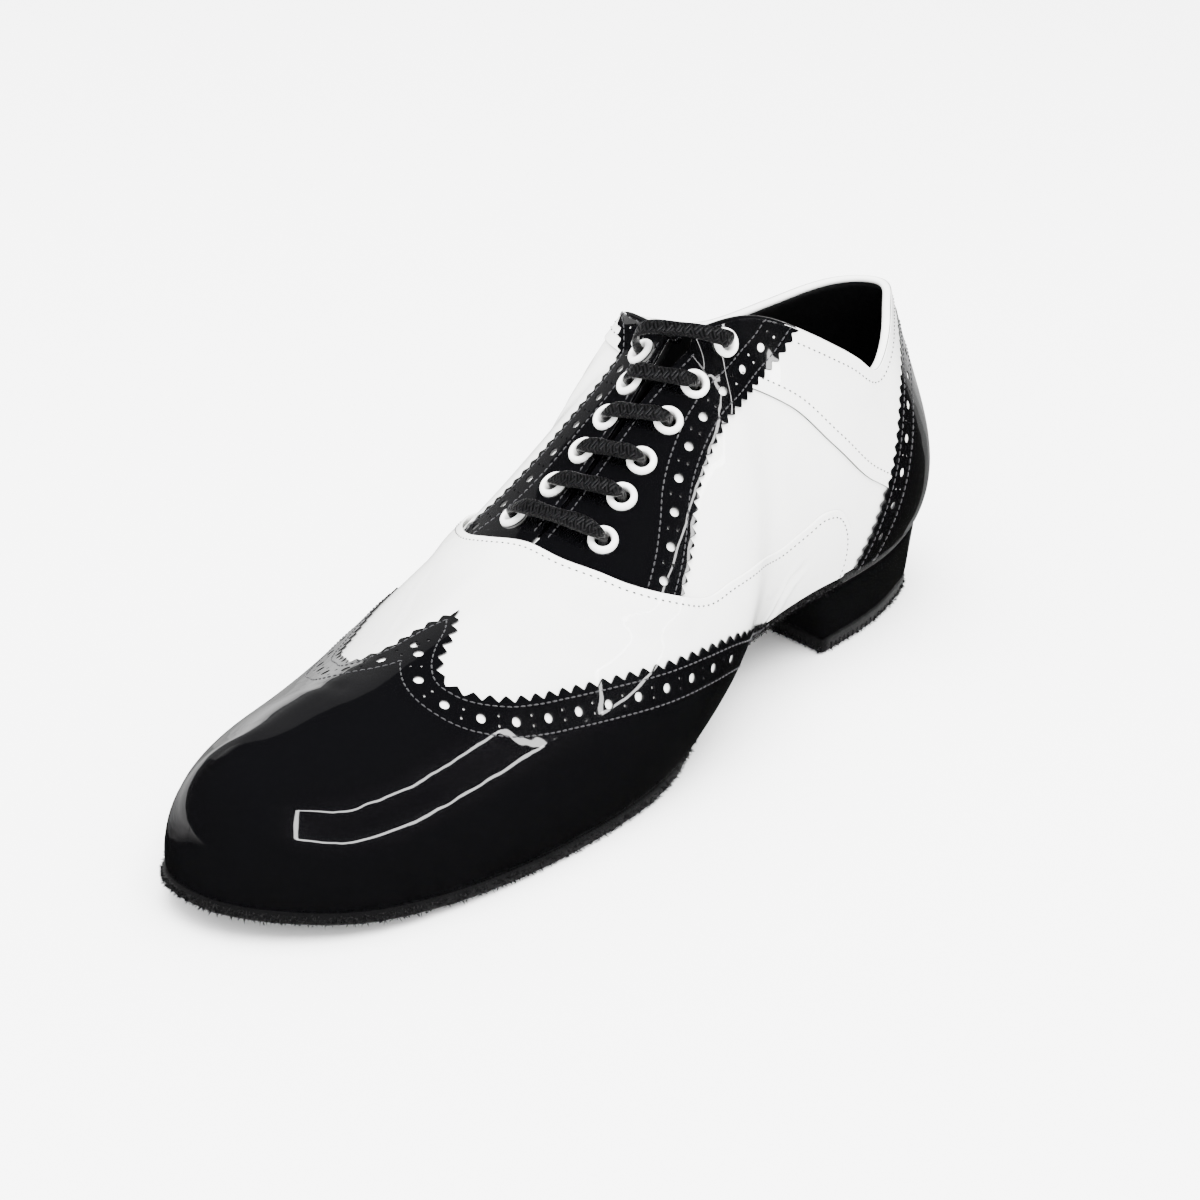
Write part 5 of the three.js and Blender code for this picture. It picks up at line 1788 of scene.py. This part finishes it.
def slab_mesh(name, edge, section):
    """A slab under the foot from its section: pairs of reach beyond the edge and height, from the
    middle of the underside round the edge to the middle of the top side."""
    levels = [slab_points(edge, beyond, height) for beyond, height in section]
    rows, columns = levels[0].shape[:2]
    loop = [(row, 0) for row in range(rows)] + [(row, columns - 1) for row in range(rows - 2, 0, -1)]
    bm = bmesh.new()
    sheets = []
    for points in (levels[0], levels[-1]):
        made = bmesh.ops.create_grid(bm, x_segments=columns - 1, y_segments=rows - 1, size=1)["verts"]
        for corner, point in zip(made, points.reshape(-1, 3)):
            corner.co = Vector(point) * MM
        sheets.append(made)
    rings = [[sheets[0][row * columns + column] for row, column in loop]]
    for points in levels[1:-1]:
        rings.append([bm.verts.new(Vector(points[row, column]) * MM) for row, column in loop])
    rings.append([sheets[1][row * columns + column] for row, column in loop])
    for lower, upper in zip(rings, rings[1:]):
        for number in range(len(loop)):
            after = (number + 1) % len(loop)
            bm.faces.new((lower[number], lower[after], upper[after], upper[number]))
    bmesh.ops.remove_doubles(bm, verts=bm.verts, dist=1e-6)
    bmesh.ops.recalc_face_normals(bm, faces=bm.faces)
    return to_mesh(bm, name)


# A loose fibre's half width, how far it leans off square, how far it droops as a share of its
# length, and the height of those that reach the ground and lie on it
FIBRE_HALF_WIDTH = 0.18
FIBRE_LEAN = 0.55
FIBRE_DROOP = 0.25
FIBRE_LOWEST = 0.02


def add_fibres(context, name, seats, outs, material, length, seed):
    """Loose suede fibres standing off a cut edge, each one thin bent blade."""
    rng = np.random.default_rng(seed)
    corners = []
    faces = []
    for seat, out in zip(seats, outs):
        lean = unit(out + rng.normal(0, FIBRE_LEAN, 3))
        side = unit(np.cross(lean, rng.normal(0, 1, 3))) * FIBRE_HALF_WIDTH
        reach = length * rng.uniform(0.3, 1.0)
        droop = np.array([0, 0, -FIBRE_DROOP * reach * rng.uniform(-0.4, 1)])
        bend = seat + lean * reach * 0.6 + side * 0.7
        first = len(corners)
        corners += [seat - side, seat + side, bend, seat + lean * reach + droop]
        faces += [(first, first + 1, first + 2), (first, first + 2, first + 3)]
    corners = np.array(corners)
    corners[:, 2] = np.maximum(corners[:, 2], FIBRE_LOWEST)
    mesh = bpy.data.meshes.new(name)
    mesh.from_pydata((corners * MM).tolist(), [], faces)
    return add_piece(context, mesh, name, [material])


SOLE_FIBRES = 9000
HEEL_ROWS = (14.6, 23.4)


class SHOE_OT_outsole(bpy.types.Operator):
    """Thin suede sole with a fuzzy cut edge."""

    bl_idname = "shoe.outsole"
    bl_label = "Outsole"

    def execute(self, context):
        made = finishes(context)
        top = SOLE_THICKNESS + 0.22
        section = [
            (-0.9, 0.0), (-0.25, 0.12), (0.05, 0.7), (0.1, 1.7), (-0.05, top - 0.6), (-0.45, top - 0.1),
            (-1.1, top), (-3.0, top),
        ]
        mesh = slab_mesh("outsole_suede", ledge, section)
        add_piece(context, mesh, "outsole_suede", [made["suede"]], ["outsole"])
        rng = np.random.default_rng(7)
        place = rng.uniform(0, ROUND, SOLE_FIBRES)
        height = rng.uniform(0.05, top - 0.6, SOLE_FIBRES)
        out = outward(place)
        seats = feather_point(place) + out * (ledge(place) - 0.05)[:, None]
        seats[:, 2] = sole_bottom(seats[:, 1]) + height
        # Over the heel the cover hides the cut edge
        first, last = HEEL_ROWS
        kept = (place < first) | (place > last)
        add_fibres(
            context, "outsole_fibres", seats[kept], out[kept], made["suede"], 1.4, 11)
        return {"FINISHED"}


class SHOE_OT_insole(bpy.types.Operator):
    """Sock lining with a raised, rounded border."""

    bl_idname = "shoe.insole"
    bl_label = "Insole"

    def execute(self, context):
        made = finishes(context)
        base = SOLE_THICKNESS + CLEARANCE
        section = [
            (-3.3, base), (-3.1, base + 0.3), (-3.1, base + 1.6), (-3.5, base + 2.0), (-5.0, base + 2.0),
        ]
        mesh = slab_mesh("insole_sock", np.zeros_like, section)
        add_piece(context, mesh, "insole_sock", [made["sock"]], ["insole"])
        return {"FINISHED"}


HEEL_STEPS = 64
BREAST_STEPS = 24
# How far the breast sweeps forward under the sole, and how much the heel narrows down to the ground
BREAST_SWEEP = 7.0
HEEL_TAPER = 0.05


def heel_outline(z, reach=0.0):
    """One level of the heel: round its back along the feather line, then across the breast."""
    share = z / HEEL_HEIGHT
    front = y_at(HEEL_BREAST_ALONG) - BREAST_SWEEP * share * share
    scale = 1 - HEEL_TAPER * (1 - share)
    places = np.linspace(LAST_ROW / 2, LAST_ROW, 4000)
    start = places[np.argmin(np.abs(RING["y"](places) - front))]
    run = np.linspace(start, ROUND - start, HEEL_STEPS + 1)
    back = (feather_point(run) + outward(run) * reach)[:, :2] * scale
    back[0, 1] = front - reach
    back[-1, 1] = front - reach
    share = np.arange(1, BREAST_STEPS)[:, None] / BREAST_STEPS
    across = back[-1] + (back[0] - back[-1]) * share
    across[:, 1] += np.sin(np.pi * share[:, 0])
    return np.concatenate([back, across])


def heel_mesh(name, levels):
    """Levels of the heel bridged into one block: pairs of height and reach beyond the outline."""
    bm = bmesh.new()
    loops = []
    for height, reach in levels:
        outline = heel_outline(height, reach=reach)
        level = np.minimum(height, sole_bottom(outline[:, 1]) - 0.05)
        corners = [bm.verts.new((x * MM, y * MM, z * MM)) for (x, y), z in zip(outline, level)]
        loops.append([bm.edges.new(pair) for pair in zip(corners, corners[1:] + corners[:1])])
    for lower, upper in zip(loops, loops[1:]):
        bmesh.ops.bridge_loops(bm, edges=lower + upper)
    bmesh.ops.holes_fill(bm, edges=[edge for edge in bm.edges if edge.is_boundary], sides=0)
    bmesh.ops.recalc_face_normals(bm, faces=bm.faces)
    return to_mesh(bm, name)


class SHOE_OT_heel(bpy.types.Operator):
    """Leather-covered heel block on a suede top-lift."""

    bl_idname = "shoe.heel"
    bl_label = "Heel"

    def execute(self, context):
        made = finishes(context)
        cover = [(LIFT_THICKNESS + 0.05, -0.35), (LIFT_THICKNESS + 0.35, -0.05), (LIFT_THICKNESS + 1.2, 0.0)]
        cover += [(height, 0.0) for height in np.linspace(8, HEEL_HEIGHT - 1.2, 8)]
        cover += [(HEEL_HEIGHT - 0.5, -0.1), (HEEL_HEIGHT - 0.1, -0.5)]
        mesh = heel_mesh("heel_cover", cover)
        add_piece(context, mesh, "heel_cover", [made["black"]], ["heel"])
        lift = [(0.0, -0.5), (0.25, -0.12), (0.9, 0.0), (2.5, 0.05), (4.2, 0.0)]
        lift += [(LIFT_THICKNESS - 0.1, -0.3)]
        mesh = heel_mesh("top_lift_suede", lift)
        add_piece(context, mesh, "top_lift_suede", [made["suede"]], ["top_lift"])
        rng = np.random.default_rng(3)
        seats = []
        outs = []
        for height in np.linspace(0.15, 2.4, 12):
            outline = heel_outline(height)
            middle = outline.mean(0)
            for _ in range(150):
                number = rng.integers(len(outline))
                point = outline[number] * 0.5 + outline[(number + 1) % len(outline)] * 0.5
                seats.append([*point, height + rng.uniform(-0.2, 0.2)])
                outs.append(unit(np.array([*(point - middle), 0.0])))
        add_fibres(
            context, "top_lift_fibres", np.array(seats), np.array(outs), made["suede"], 1.5, 5)
        return {"FINISHED"}


CAMERA_PLACE = (0.4705, -0.677, 0.427)
CAMERA_RIGHT = (0.7584, 0.6501, 0.0462)
CAMERA_UP = (-0.3359, 0.329, 0.8824)


def add_camera(context):
    """The camera at the photograph's angle, rolled as it was held."""
    data = bpy.data.cameras.new("camera")
    data.lens = 90
    data.sensor_width = 36
    data.clip_end = 20
    camera = bpy.data.objects.new("camera", data)
    right = Vector(CAMERA_RIGHT).normalized()
    up = Vector(CAMERA_UP)
    up = (up - right * up.dot(right)).normalized()
    axes = Matrix((right, up, right.cross(up))).transposed()
    camera.matrix_world = Matrix.Translation(CAMERA_PLACE) @ axes.to_4x4()
    context.scene.collection.objects.link(camera)
    context.scene.camera = camera


def add_floor(context, colour):
    """A wide matt floor just under the shoe. The patent leather doesn't mirror it: the reflection
    sheets of add_lamps stand for it there."""
    backdrop, tree = new_material("white_painted_floor")
    shader = add_node(tree, "ShaderNodeBsdfDiffuse", Color=(*colour, 1.0))
    add_node(tree, "ShaderNodeOutputMaterial", {"Surface": shader.outputs["BSDF"]})
    bm = bmesh.new()
    bmesh.ops.create_grid(bm, x_segments=1, y_segments=1, size=6)
    bmesh.ops.translate(bm, verts=bm.verts, vec=(0, 0, -0.0005))
    mesh = to_mesh(bm, "floor")
    mesh.materials.append(backdrop)
    floor = bpy.data.objects.new("floor", mesh)
    context.scene.collection.objects.link(floor)
    floor.visible_glossy = False


def add_surroundings(context):
    """A white studio all round, which the patent leather mirrors only as a dark room."""
    world = bpy.data.worlds.new("studio")
    world.use_nodes = True
    tree = world.node_tree
    tree.nodes.clear()
    rays = add_node(tree, "ShaderNodeLightPath")
    seen = add_node(tree, "ShaderNodeBackground", Color=(1, 1, 1, 1), Strength=4.0)
    around = add_node(tree, "ShaderNodeBackground", Color=(1, 1, 1, 1), Strength=3.4)
    mirrored = add_node(tree, "ShaderNodeBackground", Color=(1, 1, 1, 1), Strength=0.02)
    glossy = add_node(tree, "ShaderNodeMixShader", {"Fac": rays.outputs["Is Glossy Ray"]})
    tree.links.new(around.outputs["Background"], glossy.inputs[1])
    tree.links.new(mirrored.outputs["Background"], glossy.inputs[2])
    mix = add_node(tree, "ShaderNodeMixShader", {"Fac": rays.outputs["Is Camera Ray"]})
    tree.links.new(glossy.outputs["Shader"], mix.inputs[1])
    tree.links.new(seen.outputs["Background"], mix.inputs[2])
    add_node(tree, "ShaderNodeOutputWorld", {"Surface": mix.outputs["Shader"]})
    context.scene.world = world


def add_light(context, name, place, target, size, size_y, power):
    """A rectangular soft light at a place, turned to a target."""
    light = bpy.data.lights.new(name, "AREA")
    light.shape = "RECTANGLE"
    light.size = size
    light.size_y = size_y
    light.energy = power
    lamp = bpy.data.objects.new(name, light)
    lamp.location = place
    aim = Vector(target) - Vector(place)
    lamp.rotation_euler = aim.to_track_quat("-Z", "Y").to_euler()
    context.scene.collection.objects.link(lamp)
    return lamp


# Corners of the lit window frame, in metres, and the width of its bars
WINDOW_CORNERS = [
    (1.5, -1.42, 0.85), (1.5, -0.8, 0.55), (1.5, -0.1, 0.4), (1.5, 0.76, 0.6), (1.5, 0.72, 1.5),
    (1.5, 0.1, 1.22), (1.5, -0.55, 1.5), (1.5, -1.2, 2.05),
]
WINDOW_BAR = 0.05
WINDOW_TARGET = Vector((0, -0.15, 0.04))


def add_strip(context, name, start, end, power):
    """A straight bar of the window frame between two points, seen only in reflections."""
    start = Vector(start)
    end = Vector(end)
    run = end - start
    middle = (start + end) / 2
    strip = add_light(
        context, name, middle, WINDOW_TARGET, run.length, WINDOW_BAR, power * run.length * WINDOW_BAR)
    along = run.normalized()
    back = middle - WINDOW_TARGET
    back = (back - along * back.dot(along)).normalized()
    axes = Matrix((along, back.cross(along), back)).transposed()
    strip.matrix_world = Matrix.Translation(middle) @ axes.to_4x4()
    strip.visible_diffuse = False


# The lit floor that the patent leather mirrors lies in sheets, one on the other and each a little
# smaller, so that it brightens in soft steps away from the shoe: power of each square metre, number
# of sheets and the height from one to the next
SHEET_POWER = 0.7
SHEETS = 6
SHEET_RISE = 0.001


def add_sheet(context, name, low, high, number):
    """One lit sheet of the floor between two corners, seen only in reflections."""
    width = high[0] - low[0]
    depth = high[1] - low[1]
    place = Vector(((low[0] + high[0]) / 2, (low[1] + high[1]) / 2, SHEET_RISE * (number + 1)))
    above = place + Vector((0, 0, 1))
    sheet = add_light(context, name, place, above, width, depth, SHEET_POWER * width * depth)
    sheet.visible_diffuse = False


def add_lamps(context, settings):
    """A large soft light overhead, and what the patent leather mirrors: a window frame on the inner
    side, the floor behind the heel and beside the toe, and the wall beyond."""
    overhead = add_light(
        context, "overhead", (0.2, -0.3, 1.6), (0, -0.1, 0), 1.6, 1.6, settings.light_power)
    overhead.visible_glossy = False
    corners = WINDOW_CORNERS + WINDOW_CORNERS[:1]
    for number, (start, end) in enumerate(zip(corners, corners[1:]), 1):
        add_strip(context, f"window_bar_{number}", start, end, settings.window_power)
    for number in range(SHEETS):
        low = (-0.9, 0.042 + 0.012 * number)
        high = (0.015 - 0.02 * number, 1.6)
        add_sheet(context, f"floor_behind_{number}", low, high, number)
    for number in range(SHEETS):
        low = (-1.3, -0.56)
        high = (-0.056 - 0.015 * number, 0.04)
        add_sheet(context, f"floor_beside_{number}", low, high, number)
    wall = add_light(context, "wall_beyond", (-1.3, 1.1, 0.8), (0, -0.15, 0.05), 2.4, 1.6, 2.6)
    wall.visible_diffuse = False


class SHOE_OT_stage(bpy.types.Operator):
    """Pale floor, soft studio lights and the camera."""

    bl_idname = "shoe.stage"
    bl_label = "Studio"

    def execute(self, context):
        settings = context.scene.shoe_stage
        add_camera(context)
        add_floor(context, settings.backdrop)
        add_surroundings(context)
        add_lamps(context, settings)
        return {"FINISHED"}


OPERATORS = [
    SHOE_OT_stage, SHOE_OT_lace, SHOE_OT_upper, SHOE_OT_vamp, SHOE_OT_wing_cap, SHOE_OT_collar,
    SHOE_OT_facings, SHOE_OT_counter, SHOE_OT_topline, SHOE_OT_eyelets, SHOE_OT_tongue,
    SHOE_OT_outsole, SHOE_OT_insole, SHOE_OT_heel,
]


class SHOE_PT_panel(bpy.types.Panel):
    """Lists the shoe's sizes, colours and pieces."""

    bl_idname = "SHOE_PT_panel"
    bl_label = "Spectator shoe"
    bl_space_type = "VIEW_3D"
    bl_region_type = "UI"
    bl_category = "Shoe"

    def draw(self, context):
        for group in (context.scene.shoe_sizes, context.scene.shoe_colours, context.scene.shoe_stage):
            box = self.layout.box()
            for key in group.__annotations__:
                box.prop(group, key)
        for operator in OPERATORS:
            self.layout.operator(operator.bl_idname)


CLASSES = [ShoeSizes, ShoeColours, StageSettings, *OPERATORS, SHOE_PT_panel]


def register():
    for each in CLASSES:
        bpy.utils.register_class(each)
    bpy.types.Scene.shoe_sizes = bpy.props.PointerProperty(type=ShoeSizes)
    bpy.types.Scene.shoe_colours = bpy.props.PointerProperty(type=ShoeColours)
    bpy.types.Scene.shoe_stage = bpy.props.PointerProperty(type=StageSettings)


def unregister():
    del bpy.types.Scene.shoe_stage
    del bpy.types.Scene.shoe_colours
    del bpy.types.Scene.shoe_sizes
    for each in reversed(CLASSES):
        bpy.utils.unregister_class(each)


def main():
    register()
    for operator in OPERATORS:
        group, name = operator.bl_idname.split(".")
        getattr(getattr(bpy.ops, group), name)()


if __name__ == "__main__":
    main()
